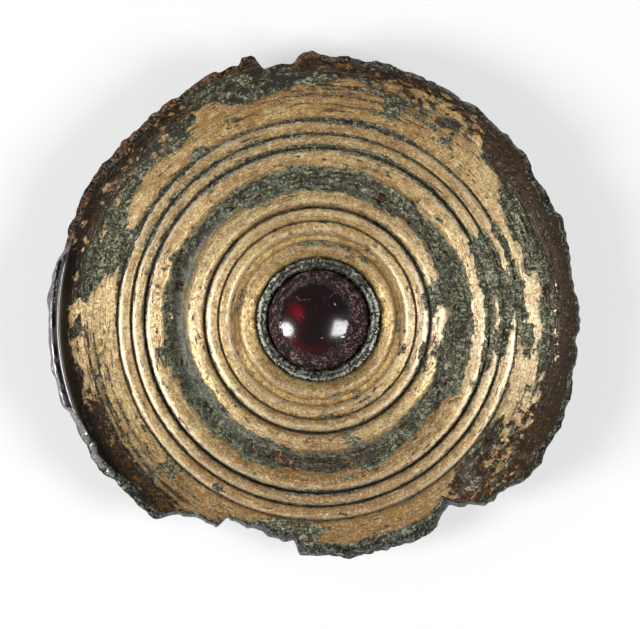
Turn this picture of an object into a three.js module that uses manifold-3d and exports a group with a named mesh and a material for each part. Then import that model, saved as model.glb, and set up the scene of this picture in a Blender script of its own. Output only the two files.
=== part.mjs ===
// A cast saucer brooch: a gilded copper-alloy disc with turned rings inside an upturned rim,
// a collar and a garnet cabochon in the middle, and a pin lug and catch cast on the back.
// Millimetres, +Z up out of the decorated face, +Y towards the lug. The origin is on the flat
// back, on the axis of the rings. The rim is broken and worn, and stays as it is.

import * as THREE from "three";
import { mergeVertices } from "three/addons/utils/BufferGeometryUtils.js";
import Module from "manifold-3d";

const wasm = await Module();
wasm.setup();

// Driving dimensions of the saucer
const RIM_RADIUS = 23.6; // the cast rim before it broke
const WORN_RADIUS = 22.9; // where most of the rim is broken off now
const RIM_HEIGHT = 4.6; // top of the rim over the flat back
const BACK_RADIUS = 19.6; // the flat back, inside the sweep of the rim
const RING_TOP = 1.85; // top of the outer rings
const SEAT_RADIUS = 5.4; // the cell that holds the collar and the stone
const SEAT_FLOOR = 1.0;
const RING_STEPS = 90; // segments round the axis
const RIM_STEPS = 180; // points round the broken outline

// Collar and stone
const COLLAR_OUTER = 5.28;
const COLLAR_INNER = 4.42;
const COLLAR_TOP = 2.95;
const STONE_RADIUS = 4.32;
const GIRDLE = 2.35; // height of the stone's edge
const STONE_RISE = 2.15; // dome over its edge
const STONE_LEAN = 0.5; // the dome stands off centre, towards -X
const SMALL_STEPS = 40;

// Pin fittings on the back
const FOOT_DROP = 4.6; // lug tips and catch foot below the back, which it rests on
const ROOT = 0.4; // how far a fitting is let into the disc
const LUG_GAP = 3.2;
const LUG_THICK = 1.5;
const LUG_Y = 13.2;
const LUG_LENGTH = 5.4;
const LUG_TIP = 2.6;
const LUG_HOLE_RADIUS = 0.85;
const LUG_HOLE_DROP = 2.7;
const CATCH_Y = -12.4; // middle of the catch
const CATCH_LENGTH = 6.4;
const CATCH_WIDTH = 3.4;
const CATCH_LEAF = 1.0; // thickness of its plate
const CATCH_LIP = 1.3; // how far the hook turns back up

// How the ring ornament runs out from the cell: [radius, height over the flat back]
const VALLEY = 1.35; // bottom of a turned groove
const RINGS = [
  [SEAT_RADIUS, 2.0], // inner moulding, round the collar
  [6.0, 2.32],
  [6.4, 2.42],
  [6.7, 2.25],
  [6.98, 1.82], // gilded hollow
  [7.35, 1.8],
  [7.85, 2.35], // three rounded mouldings and two grooves
  [8.5, 2.3],
  [8.62, 2.1],
  [8.74, 2.3],
  [9.2, 2.4],
  [9.66, 2.25],
  [9.82, 1.85],
  [9.98, 2.15],
  [10.5, 2.35],
  [11.15, 2.15],
  [11.95, 1.3], // wide bare channel
  [12.85, 1.25],
  [13.65, RING_TOP - 0.05],
  [14.3, RING_TOP + 0.08],
  [14.88, RING_TOP - 0.12],
  [15.04, VALLEY],
  [15.2, RING_TOP - 0.12],
  [15.63, RING_TOP], // pair of narrow rings
  [16.06, RING_TOP - 0.12],
  [16.22, VALLEY],
  [16.38, RING_TOP - 0.12],
  [16.85, RING_TOP],
  [17.28, RING_TOP - 0.15],
  [17.43, VALLEY + 0.05],
  [17.6, RING_TOP - 0.17],
  [18.8, RING_TOP], // plain border, then the sweep of the rim
  [20.3, 1.95],
  [21.3, 2.4],
  [22.2, 3.1],
  [23.0, 3.95],
  [RIM_RADIUS - 0.25, RIM_HEIGHT],
  [RIM_RADIUS, RIM_HEIGHT - 0.1],
];

// The underside of the rim, from its lip down to the flat back
const UNDERSIDE = [
  [RIM_RADIUS, RIM_HEIGHT - 0.45],
  [22.95, 2.95],
  [22.0, 1.8],
  [20.9, 0.7],
  [BACK_RADIUS, 0],
];

// Where the edge departs from the worn radius, anticlockwise from +X:
// middle and half width in degrees, the degrees it takes to run out, and millimetres out or in
const RIM_EVENTS = [
  { what: "surviving lip on the left", at: 183, half: 14.5, run: 4, out: 0.58 },
  { what: "swell under the lip", at: 209, half: 6, run: 5, out: 0.12 },
  { what: "swell at the upper left", at: 154, half: 11, run: 5, out: 0.18 },
  { what: "shoulder by the knob", at: 113, half: 3.5, run: 5, out: 0.28 },
  { what: "knob of corrosion", at: 105, half: 1.0, run: 1.8, out: 0.78 },
  { what: "notch at the top", at: 99.3, half: 2.8, run: 2.6, out: -0.55 },
  { what: "peak at the top", at: 92.5, half: 0.4, run: 2.8, out: 0.42 },
  { what: "great loss at the bottom", at: 272.35, half: 36.25, run: 6, out: -2.05 },
  { what: "dip in the great loss", at: 271, half: 4.5, run: 5, out: -0.25 },
  { what: "tooth in the great loss", at: 278.2, half: 0.8, run: 2.2, out: 0.3 },
  { what: "swell in the great loss", at: 294, half: 0.8, run: 2.8, out: 0.28 },
  { what: "wear before the great loss", at: 227, half: 5, run: 8, out: -0.42 },
  { what: "step into the bite", at: 241, half: 2.5, run: 3, out: -0.62 },
  { what: "lower left bite", at: 254.6, half: 9, run: 2, out: -1.35 },
  { what: "deepest bite", at: 250.5, half: 4, run: 3, out: -0.45 },
  { what: "lower right bite", at: 303.2, half: 1.5, run: 3.2, out: -0.4 },
  { what: "corner past the lower right bite", at: 309.4, half: 0.9, run: 2.4, out: 0.62 },
  { what: "wear after the great loss", at: 316, half: 6.5, run: 8.5, out: -0.66 },
  { what: "nick at the upper left", at: 165, half: 3, run: 3, out: -0.2 },
  { what: "wear on the right", at: 10.5, half: 23.5, run: 2.5, out: -0.28 },
  { what: "notch on the right", at: 10, half: 2.5, run: 3.5, out: -0.22 },
  { what: "swell on the right", at: 21.5, half: 1.5, run: 3, out: 0.28 },
];

// The ragged edge between those events: waves per turn, phase and millimetres
const RAGGED = [
  { waves: 29, phase: 0.7, size: 0.05 },
  { waves: 47, phase: 2.1, size: 0.05 },
  { waves: 71, phase: 4.4, size: 0.035 },
];

const easeIn = (t) => {
  const u = Math.min(1, Math.max(0, t));
  return u * u * (3 - 2 * u);
};

// 1 inside an event's span and 0 past its run-out, in degrees round the axis
function reach(event, degrees) {
  const turned = (((degrees - event.at + 180) % 360) + 360) % 360;
  const away = Math.abs(turned - 180);
  return easeIn((event.half + event.run - away) / event.run);
}

function brokenRadius(degrees) {
  const angle = THREE.MathUtils.degToRad(degrees);
  const events = RIM_EVENTS.reduce((sum, e) => sum + e.out * reach(e, degrees), 0);
  const ragged = RAGGED.reduce((sum, w) => sum + w.size * Math.sin(w.waves * angle + w.phase), 0);
  return WORN_RADIUS + events + ragged;
}

// A closed geometry as a solid, with its doubled vertices merged and its empty faces dropped
function solidOf(geometry) {
  const bare = new THREE.BufferGeometry();
  const source = geometry.index ? geometry.toNonIndexed() : geometry;
  bare.setAttribute("position", source.getAttribute("position"));
  const merged = mergeVertices(bare, 1e-4);
  const index = merged.index.array;
  const kept = [];
  for (let i = 0; i < index.length; i += 3) {
    const [a, b, c] = [index[i], index[i + 1], index[i + 2]];
    if (a !== b && b !== c && c !== a) kept.push(a, b, c);
  }
  return new wasm.Manifold(
    new wasm.Mesh({
      numProp: 3,
      vertProperties: merged.getAttribute("position").array,
      triVerts: new Uint32Array(kept),
    }),
  );
}

function geometryOf(solid) {
  const mesh = solid.getMesh();
  const geometry = new THREE.BufferGeometry();
  geometry.setAttribute("position", new THREE.BufferAttribute(mesh.vertProperties, 3));
  geometry.setIndex(new THREE.BufferAttribute(mesh.triVerts, 1));
  geometry.computeVertexNormals();
  return geometry;
}

// A profile of [radius, height] turned about the Z axis. The profile runs up the outside from
// the bottom of the axis, so that its faces point out.
function turned(profile, steps) {
  const points = profile.map(([r, z]) => new THREE.Vector2(r, z));
  return new THREE.LatheGeometry(points, steps).rotateX(Math.PI / 2);
}

// The whole saucer as it was cast: flat back, rim, rings and the cell in the middle
function castSaucer() {
  const back = UNDERSIDE.toReversed();
  const face = RINGS.toReversed();
  const profile = [[0, 0], ...back, ...face, [SEAT_RADIUS, SEAT_FLOOR], [0, SEAT_FLOOR]];
  return solidOf(turned(profile, RING_STEPS));
}

// A prism of the outline that is left of it
function survivingOutline() {
  const outline = new THREE.Shape();
  for (let i = 0; i < RIM_STEPS; i += 1) {
    const degrees = (i * 360) / RIM_STEPS;
    const angle = THREE.MathUtils.degToRad(degrees);
    const r = brokenRadius(degrees);
    const place = i === 0 ? "moveTo" : "lineTo";
    outline[place](r * Math.cos(angle), r * Math.sin(angle));
  }
  outline.closePath();
  const depth = RIM_HEIGHT + 2;
  const prism = new THREE.ExtrudeGeometry(outline, { depth, bevelEnabled: false });
  return solidOf(prism.translate(0, 0, -1));
}

// A plate on the back, from an outline of [y or x, drop below the back], in its own plane
function plateShape(points) {
  const shape = new THREE.Shape();
  points.forEach(([across, drop], i) => shape[i === 0 ? "moveTo" : "lineTo"](across, -drop));
  shape.closePath();
  return shape;
}

// One of the two lugs that held the pin's axle: a tab with worn corners and a hole
function lug(side) {
  const half = LUG_LENGTH / 2;
  const tip = LUG_TIP / 2;
  const shape = plateShape([
    [-half, -ROOT],
    [-half, FOOT_DROP * 0.35],
    [-tip - 0.5, FOOT_DROP - 0.7],
    [-tip, FOOT_DROP],
    [tip, FOOT_DROP],
    [tip + 0.5, FOOT_DROP - 0.7],
    [half, FOOT_DROP * 0.35],
    [half, -ROOT],
  ]);
  const hole = new THREE.Path();
  hole.absarc(0, -LUG_HOLE_DROP, LUG_HOLE_RADIUS, 0, 2 * Math.PI, true);
  shape.holes.push(hole);
  const plate = new THREE.ExtrudeGeometry(shape, {
    depth: LUG_THICK,
    bevelEnabled: false,
    curveSegments: 8,
  });
  plate.translate(0, 0, -LUG_THICK / 2);
  // The shape's x runs along Y, its y along Z and its thickness along X
  const turn = new THREE.Matrix4().makeBasis(
    new THREE.Vector3(0, 1, 0),
    new THREE.Vector3(0, 0, 1),
    new THREE.Vector3(1, 0, 0),
  );
  plate.applyMatrix4(turn);
  plate.translate((side * (LUG_GAP + LUG_THICK)) / 2, LUG_Y, 0);
  return solidOf(plate);
}

// The catch: a leaf that stands on the back, with its free edge turned over as a hook
function pinCatch() {
  const left = -CATCH_WIDTH / 2;
  const right = CATCH_WIDTH / 2;
  const foot = FOOT_DROP - CATCH_LEAF;
  const hook = plateShape([
    [left, -ROOT],
    [left, FOOT_DROP],
    [right, FOOT_DROP],
    [right, foot - CATCH_LIP],
    [right - CATCH_LEAF * 0.8, foot - CATCH_LIP],
    [right - CATCH_LEAF * 0.8, foot],
    [left + CATCH_LEAF, foot],
    [left + CATCH_LEAF, -ROOT],
  ]);
  const plate = new THREE.ExtrudeGeometry(hook, { depth: CATCH_LENGTH, bevelEnabled: false });
  plate.rotateX(Math.PI / 2);
  plate.translate(0, CATCH_Y + CATCH_LENGTH / 2, 0);
  return solidOf(plate);
}

function saucer() {
  const broken = castSaucer().intersect(survivingOutline());
  const fitted = [lug(-1), lug(1), pinCatch()].reduce((whole, piece) => whole.add(piece), broken);
  return geometryOf(fitted);
}

// The collar: a band round the stone, a little fuller at its foot
function collar() {
  const profile = [
    [COLLAR_INNER, SEAT_FLOOR],
    [COLLAR_OUTER, SEAT_FLOOR],
    [COLLAR_OUTER, COLLAR_TOP - 0.45],
    [COLLAR_OUTER - 0.2, COLLAR_TOP - 0.08],
    [COLLAR_INNER + 0.3, COLLAR_TOP],
    [COLLAR_INNER, COLLAR_TOP - 0.25],
    [COLLAR_INNER, SEAT_FLOOR],
  ];
  return turned(profile, SMALL_STEPS);
}

// The stone: flat below, straight to its edge, and a dome that leans towards -X
function stone() {
  const domeRings = 7;
  const profile = [
    [0, SEAT_FLOOR],
    [STONE_RADIUS, SEAT_FLOOR],
  ];
  for (let i = 0; i <= domeRings; i += 1) {
    const angle = (i / domeRings) * (Math.PI / 2);
    profile.push([STONE_RADIUS * Math.cos(angle), GIRDLE + STONE_RISE * Math.sin(angle)]);
  }
  profile[profile.length - 1][0] = 0;
  const dome = turned(profile, SMALL_STEPS);
  const place = dome.getAttribute("position");
  for (let i = 0; i < place.count; i += 1) {
    const up = Math.max(0, (place.getZ(i) - GIRDLE) / STONE_RISE);
    place.setX(i, place.getX(i) - STONE_LEAN * up);
  }
  dome.computeVertexNormals();
  return dome;
}

const gilding = new THREE.MeshStandardMaterial({ color: 0xb8924f, roughness: 0.42, metalness: 0.9 });
const corroded = new THREE.MeshStandardMaterial({ color: 0x3d463a, roughness: 0.7, metalness: 0.3 });
const garnet = new THREE.MeshStandardMaterial({ color: 0x4a0610, roughness: 0.08, metalness: 0 });

function named(name, geometry, material) {
  const mesh = new THREE.Mesh(geometry, material);
  mesh.name = name;
  return mesh;
}

const brooch = new THREE.Group();
brooch.add(named("saucer", saucer(), gilding));
brooch.add(named("stone_collar", collar(), corroded));
brooch.add(named("garnet_cabochon", stone(), garnet));

export default brooch;
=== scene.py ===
"""A worn saucer brooch: gilded turned rings in a broken rim, a corroded collar and a garnet.

The fine surfaces are worked out here round the fixed solids, which keep the sizes. Lengths that
describe the brooch are in millimetres, as its maker would give them, and become metres where a
mesh is made. Angles run anticlockwise from +X, in degrees, seen from the decorated face.
"""

import math

import bmesh
import bpy
import numpy as np
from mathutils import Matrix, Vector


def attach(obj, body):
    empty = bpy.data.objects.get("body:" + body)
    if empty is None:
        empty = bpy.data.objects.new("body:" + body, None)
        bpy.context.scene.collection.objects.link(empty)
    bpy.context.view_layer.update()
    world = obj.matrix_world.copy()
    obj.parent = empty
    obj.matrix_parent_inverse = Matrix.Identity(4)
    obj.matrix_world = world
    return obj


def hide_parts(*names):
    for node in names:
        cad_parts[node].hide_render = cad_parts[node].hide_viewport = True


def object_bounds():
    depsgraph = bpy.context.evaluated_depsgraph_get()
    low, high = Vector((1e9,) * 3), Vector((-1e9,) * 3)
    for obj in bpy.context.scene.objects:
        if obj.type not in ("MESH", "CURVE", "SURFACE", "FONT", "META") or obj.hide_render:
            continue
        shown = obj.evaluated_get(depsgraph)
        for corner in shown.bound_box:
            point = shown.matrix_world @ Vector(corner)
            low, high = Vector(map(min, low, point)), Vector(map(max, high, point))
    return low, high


bl_info = {
    "name": "Saucer Brooch",
    "version": (1, 0, 0),
    "blender": (4, 5, 0),
    "location": "View3D > Sidebar > Brooch",
    "description": "Builds the worn gilded brooch, its collar, its garnet and the stage",
    "category": "Add Mesh",
}

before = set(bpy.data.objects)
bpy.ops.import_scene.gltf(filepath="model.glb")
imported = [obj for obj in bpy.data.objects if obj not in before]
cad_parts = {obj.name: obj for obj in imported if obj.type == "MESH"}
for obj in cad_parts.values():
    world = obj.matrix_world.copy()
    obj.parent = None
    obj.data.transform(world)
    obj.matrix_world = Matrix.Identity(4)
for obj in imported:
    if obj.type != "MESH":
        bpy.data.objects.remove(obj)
CAD_BOX = [list(corner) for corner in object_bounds()]

MM = 0.001
FULL_TURN = 360.0

# Sizes that the solids have, in millimetres. ROOT is how far the fittings reach into the back
RIM_RADIUS = 23.6
WORN_RADIUS = 22.9
RIM_HEIGHT = 4.6
BACK_RADIUS = 19.6
RING_TOP = 1.85
VALLEY = 1.35
SEAT_RADIUS = 5.4
SEAT_FLOOR = 1.0
COLLAR_OUTER = 5.28
COLLAR_INNER = 4.42
COLLAR_TOP = 2.95
STONE_RADIUS = 4.32
GIRDLE = 2.35
STONE_RISE = 2.15
STONE_LEAN = 0.5
FOOT_DROP = 4.6
ROOT = 0.4
LUG_GAP = 3.2
LUG_THICK = 1.5
LUG_Y = 13.2
LUG_LENGTH = 5.4
LUG_TIP = 2.6
LUG_HOLE_RADIUS = 0.85
LUG_HOLE_DROP = 2.7
LUG_SHOULDER = 0.35
LUG_CHAMFER = (0.5, 0.7)
CATCH_Y = -12.4
CATCH_LENGTH = 6.4
CATCH_WIDTH = 3.4
CATCH_LEAF = 1.0
CATCH_LIP = 1.3
# How the fittings' edges are eased, and how the catch narrows: from which share of its length,
# to which share of its width, and how far it goes there
EDGE_EASE = 0.16
CATCH_END = 0.44
CATCH_NARROW = 0.86
CATCH_DRAWN = 0.1

# How the ring ornament runs out from the cell: (radius, height over the flat back)
RINGS = [
    (SEAT_RADIUS, 2.0), (5.65, 2.15), (6.0, 2.32), (6.4, 2.42), (6.7, 2.25),
    (6.98, 1.82), (7.35, 1.8),
    (7.85, 2.35), (8.5, 2.3), (8.62, 2.1), (8.74, 2.3), (9.2, 2.4), (9.66, 2.25),
    (9.82, 1.85), (9.98, 2.15), (10.5, 2.35), (11.15, 2.15), (11.95, 1.3),
    (12.85, 1.25), (13.65, RING_TOP - 0.05), (14.3, RING_TOP + 0.08), (14.55, RING_TOP + 0.06),
    (14.91, RING_TOP - 0.09), (15.04, VALLEY), (15.17, RING_TOP - 0.05),
    (15.4, RING_TOP + 0.06), (15.78, RING_TOP + 0.05), (16.12, RING_TOP - 0.1),
    (16.22, VALLEY + 0.1), (16.32, RING_TOP - 0.05), (16.55, RING_TOP + 0.06),
    (17.0, RING_TOP + 0.05), (17.35, RING_TOP - 0.11), (17.43, VALLEY + 0.2),
    (17.52, RING_TOP - 0.14), (18.8, RING_TOP), (20.3, 1.95),
    (21.3, 2.4), (22.2, 3.1), (23.0, 3.95), (RIM_RADIUS - 0.25, RIM_HEIGHT),
    (RIM_RADIUS, RIM_HEIGHT - 0.1),
]

# The lip that is left: it rises to a bead, a groove and a second bead
LIP = [(21.2, 2.4), (21.7, 2.75), (22.2, 3.65), (22.42, 4.28), (22.54, 4.42), (22.74, 4.35),
       (22.84, 4.2), (22.93, 4.05), (23.04, 4.3), (23.14, 4.57), (23.3, 4.5), (23.45, 4.38)]

# Where corrosion fills the grooves, and how high it stands in a groove that is full
FILLED_UP = [(0, 1.0), (24, 1.0), (31, 0.0), (50, 0.25), (65, 0.6), (155, 0.6), (172, 0.0),
             (335, 0.0), (347, 0.6)]
FILL_HEIGHT = 0.38
FILL_HALF = 0.1

# The underside of the rim, from the flat back out to its lip
UNDERSIDE = [
    (BACK_RADIUS, 0.0), (20.9, 0.7), (22.0, 1.8), (22.95, 2.95),
    (RIM_RADIUS, RIM_HEIGHT - 0.45),
]

# Where the edge departs from the worn radius: middle, half width, run-out and distance out
RIM_EVENTS = [
    ("surviving lip on the left", 183, 14.5, 4, 0.58),
    ("swell under the lip", 209, 6, 5, 0.12),
    ("swell at the upper left", 154, 11, 5, 0.18),
    ("shoulder by the knob", 113, 3.5, 5, 0.28),
    ("knob of corrosion", 105, 1.0, 1.8, 0.78),
    ("notch at the top", 99.3, 2.8, 2.6, -0.55),
    ("peak at the top", 92.5, 0.4, 2.8, 0.42),
    ("great loss at the bottom", 272.35, 36.25, 6, -2.05),
    ("dip in the great loss", 271, 4.5, 5, -0.25),
    ("tooth in the great loss", 278.2, 0.8, 2.2, 0.3),
    ("swell in the great loss", 294, 0.8, 2.8, 0.28),
    ("wear before the great loss", 227, 5, 8, -0.42),
    ("step into the bite", 241, 2.5, 3, -0.62),
    ("lower left bite", 254.6, 9, 2, -1.35),
    ("deepest bite", 250.5, 4, 3, -0.45),
    ("lower right bite", 303.2, 1.5, 3.2, -0.4),
    ("corner past the lower right bite", 309.4, 0.9, 3.4, 1.0),
    ("wear after the great loss", 312, 3, 10, -1.0),
    ("nick at the upper left", 165, 3, 3, -0.2),
    ("wear on the right", 10.5, 23.5, 2.5, -0.28),
    ("notch on the right", 10, 2.5, 3.5, -0.22),
    ("swell on the right", 21.5, 1.5, 3, 0.28),
]
LIP_EVENT = RIM_EVENTS[0]
# The bead at the lip's foot runs on past the lip itself
LIP_RUN = ("bead of the lip", 195, 27, 7, 0)
# The waves of the edge: how many round the turn, phase and size; and where its noise is read
RAGGED = [(29, 0.7, 0.05), (47, 2.1, 0.05), (71, 4.4, 0.035)]
EDGE_CIRCLE = 23.0

# How much the border is scored by turning, where the gilding has gone from the crests
SCORED = [(0, 0.2), (35, 0.35), (55, 0.8), (90, 1.1), (118, 0.6), (150, 0.4), (175, 0.8),
          (200, 1.1), (225, 1.3), (240, 0.8), (270, 0.5), (300, 0.5), (335, 0.5)]
# Painted light: how much paler the gilding is painted round the turn, most on the sides towards the
# lamps
PALLOR = [(0, 1.1), (25, 0.4), (60, 0.05), (120, 0.05), (150, 0.2), (180, 0.4), (205, 0.2),
          (230, 0.05), (325, 0.1), (345, 0.8)]
# How much darker the border is, and how much painted shade lies in the hollow and on the
# innermost moulding. Below 0 they are painted lighter
DIRTY_BORDER = [(0, 0.0), (60, 0.3), (80, 0.7), (105, 0.6), (130, 0.3), (175, 0.3), (195, 0.3),
                (210, 0.8), (235, 1.0), (270, 0.8), (300, 0.5), (330, 0.1)]
DIRTY_HOLLOW = [(0, 1.0), (40, 0.6), (70, -0.6), (140, -0.6), (165, 0.9), (195, 0.9),
                (215, -0.9), (270, -0.3), (315, -0.7), (340, 0.4)]
DIRTY_MOULDING = [(0, 0.3), (25, 0.5), (45, 0.8), (90, 0.3), (135, 1.0), (165, 0.4), (200, 0.3),
                  (225, 0.5), (270, 0.1), (315, 0.0)]
# How dark the green ground is outside the border
DARK_RIM = [(0, 0.0), (45, 0.2), (65, 0.9), (85, 1.1), (110, 1.1), (130, 0.8), (150, 0.4),
            (200, 0.1), (300, 0.2), (315, 0.0)]
# The outer shoulders of the rings, which get a painted highlight, and their inner flanks, which
# get painted shade, and how strong the shoulders' painted highlight is round the turn
SHOULDERS = (7.7, 9.45, 14.72, 15.95, 17.2)
SHOULDER_HALF = 0.13
FLANKS = (8.95, 10.1, 13.85, 15.42, 16.62, 17.75)
FLANK_HALF = 0.2
RUBBED = [(0, 0.6), (40, 0.3), (90, 0.2), (135, 0.4), (165, 0.9), (200, 1.0), (235, 0.6),
          (270, 0.2), (300, 0.5), (330, 0.7)]
# Where the channel's bare foot is polished and given a painted sheen, with painted shade beside it,
# most on the left, towards the left lamp
SHINING = [(0, 0.1), (110, 0.1), (140, 0.4), (165, 0.7), (195, 0.7), (225, 0.3), (250, 0.1)]

# Bands along the rings: the radius of the middle, and how far off it the strength is 1/e
CHANNEL_FLOOR = (12.5, 0.62)
CHANNEL_BROWN = (12.5, 0.8)
CHANNEL_SHADOW = (12.55, 0.4)
CHANNEL_FOOT = (11.75, 0.4)
CHANNEL_SIDES = (12.4, 1.6)
HOLLOW = (7.12, 0.35)
HOLLOW_SIDE = (6.6, 0.5)
MOULDING = (6.2, 0.5)

# Radii between which each kind of wear, darkening and painted light sets in: none at the first
# and in full from the second
PALE_FROM = (6.0, 10.0)
WARM_FROM = (9.5, 15.5)
SOILED_FROM = (17.0, 20.0)
SCORED_FROM = (17.2, 18.4)
GLOOM_FROM = (19.4, 20.6)
LIP_FROM = (21.3, 21.8)
BEADS_FROM = (22.3, 22.45)

# How wide the broken face shows outside the worn surface: (degrees, millimetres)
BREAK_WIDTH = [
    (0, 0.28), (12, 0.25), (20, 0.5), (33, 0.65), (40, 0.3), (60, 0.35), (85, 0.45),
    (100, 0.6), (115, 0.6), (150, 0.65), (164, 0.6), (168, 0.12), (198, 0.12),
    (203, 0.6), (215, 0.8), (228, 0.75), (235, 0.4), (250, 0.35), (254, 0.6),
    (262, 0.9), (290, 0.95), (302, 1.0), (308, 0.55), (320, 0.45), (335, 0.55), (350, 0.35),
]

# The turned rings stand this far off the middle of the outline, once they are clear of the cell
RING_SHIFT = (-0.11, -0.05)
SHIFT_FROM, SHIFT_FULL, SHIFT_UNTIL, SHIFT_GONE = 5.6, 7.2, 18.0, 20.5

# Where the gilding ends towards the rim: (degrees, radius)
GILDING_EDGE = [
    (0, 19.5), (10, 19.5), (15, 19.3), (17, 18.7), (34, 18.7), (37, 20.0), (45, 20.1),
    (50, 21.7), (62, 21.9), (72, 21.5), (82, 21.2), (90, 20.7), (97, 20.4), (104, 20.1),
    (110, 20.0), (114, 20.6), (117, 21.1), (121, 21.0), (123, 19.7), (127, 19.3),
    (133, 19.4), (140, 19.6), (148, 19.3), (152.5, 19.0), (154.5, 17.6), (165.5, 17.6),
    (168, 18.7), (171, 19.4), (174.5, 19.7), (176, 21.7), (186, 21.8), (190, 21.6),
    (193, 20.9), (197, 20.8), (203, 20.4), (212, 20.4), (222, 20.3), (231, 20.4),
    (238, 20.9), (245, 21.5), (268, 21.5), (270.5, 19.6), (280, 19.75), (289, 19.55),
    (300, 19.6), (305, 19.7), (308, 20.6), (316, 20.7), (325, 20.5), (331, 20.1),
    (338, 19.65), (345, 19.6), (352, 19.3), (356, 19.5),
]

# The wide channel, bare of gilding: its outer and inner edges
CHANNEL_OUTER = [
    (0, 13.6), (10, 13.65), (24, 13.6), (28, 13.1), (33, 13.0), (41, 13.05), (46, 12.9),
    (50, 13.3), (60, 13.2), (64, 13.05), (69, 13.2), (74, 13.4), (81, 13.35), (87, 13.2),
    (93, 13.4), (99, 13.55), (108, 13.4), (116, 13.2), (124, 13.45), (132, 13.35),
    (138, 13.2), (149, 13.3), (154, 13.55), (156.5, 14.1), (159, 13.5), (164, 13.3),
    (169, 13.6), (176, 13.4), (182, 13.2), (187, 13.4), (189.5, 14.0), (192.5, 14.4),
    (196, 14.0), (198, 13.2), (212, 13.15), (225, 13.2), (228.5, 13.55), (232, 13.2),
    (239, 13.2), (243, 13.5), (247, 13.5), (251, 13.2), (266, 13.15), (276, 13.4),
    (283, 13.35), (285.5, 13.1), (288, 13.7), (292, 13.85), (296, 13.7), (299, 13.4),
    (305, 13.1), (318, 12.9), (329, 12.95), (332, 13.75), (340, 13.75), (344, 13.45),
    (352, 13.6),
]
CHANNEL_INNER = [
    (0, 11.1), (4, 11.2), (19, 11.25), (27, 11.3), (33, 11.5), (46, 11.5), (54, 11.25),
    (60, 11.1), (70, 11.3), (77, 11.4), (82, 11.05), (86, 11.05), (93, 11.4), (101, 11.45),
    (108, 11.25), (117, 11.3), (122, 11.7), (130, 11.85), (138, 11.75), (153, 11.95),
    (157, 11.55), (164, 11.4), (169, 11.65), (176, 11.75), (186, 11.4), (196, 11.35),
    (206, 11.25), (222, 11.1), (229, 11.3), (238, 11.4), (248, 11.3), (259, 11.35),
    (270, 11.65), (283, 11.7), (290, 11.6), (299, 11.6), (305, 11.35), (316, 11.2),
    (326, 11.3), (334, 11.35), (340, 11.0), (347, 10.9), (352, 11.05),
]

# The grooves between the rings, with half the width of the dark line in them round the turn
GROOVES = [
    ("hair line", 8.62, [(0, 0.05), (60, 0.03), (180, 0.045), (270, 0.04)]),
    ("inner groove", 9.82, [(0, 0.09), (20, 0.17), (62, 0.17), (70, 0.09), (88, 0.15),
                            (98, 0.1), (180, 0.12), (214, 0.1), (270, 0.12), (335, 0.16)]),
    ("thick groove", 15.04, [(0, 0.1), (28, 0.1), (38, 0.2), (50, 0.26), (112, 0.28),
                             (130, 0.24), (165, 0.22), (178, 0.13), (230, 0.15),
                             (275, 0.22), (300, 0.17)]),
    ("middle groove", 16.22, [(0, 0.08), (80, 0.1), (95, 0.18), (155, 0.24), (160, 0.09),
                              (250, 0.08), (270, 0.12), (340, 0.1), (352, 0.12)]),
    ("outer groove", 17.43, [(0, 0.1), (24, 0.1), (33, 0.06), (45, 0.04), (60, 0.08),
                             (63, 0.26), (80, 0.3), (93, 0.22), (100, 0.12), (118, 0.1),
                             (125, 0.16), (132, 0.24), (165, 0.26), (172, 0.14), (182, 0.08),
                             (240, 0.06), (300, 0.05), (322, 0.04), (345, 0.1)]),
    ("first turning line", 19.6, [(50, -0.3), (56, 0.06), (66, 0.1), (98, 0.09),
                                  (104, -0.3), (178, -0.3), (184, 0.1), (232, 0.12),
                                  (238, -0.3), (270, -0.3), (281, 0.08), (303, 0.08),
                                  (308, -0.3)]),
    ("second turning line", 20.2, [(54, -0.3), (58, 0.12), (88, 0.1), (94, -0.3),
                                   (178, -0.3), (183, 0.1), (232, 0.13), (238, -0.3)]),
    ("third turning line", 18.75, [(0, -0.3), (62, -0.3), (68, 0.06), (86, 0.08),
                                   (90, -0.3), (196, -0.3), (202, 0.07), (236, 0.08),
                                   (240, -0.3)]),
]
RING_GROOVES = GROOVES[:5]
WIDE_GROOVES = GROOVES[2:5]
# How wide the dark in a groove reaches to its sides, partly corrosion and partly painted shade, and
# half the width of a groove that is as dark as any
GROOVE_CORE = 0.11
GROOVE_FULL = 0.14

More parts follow.
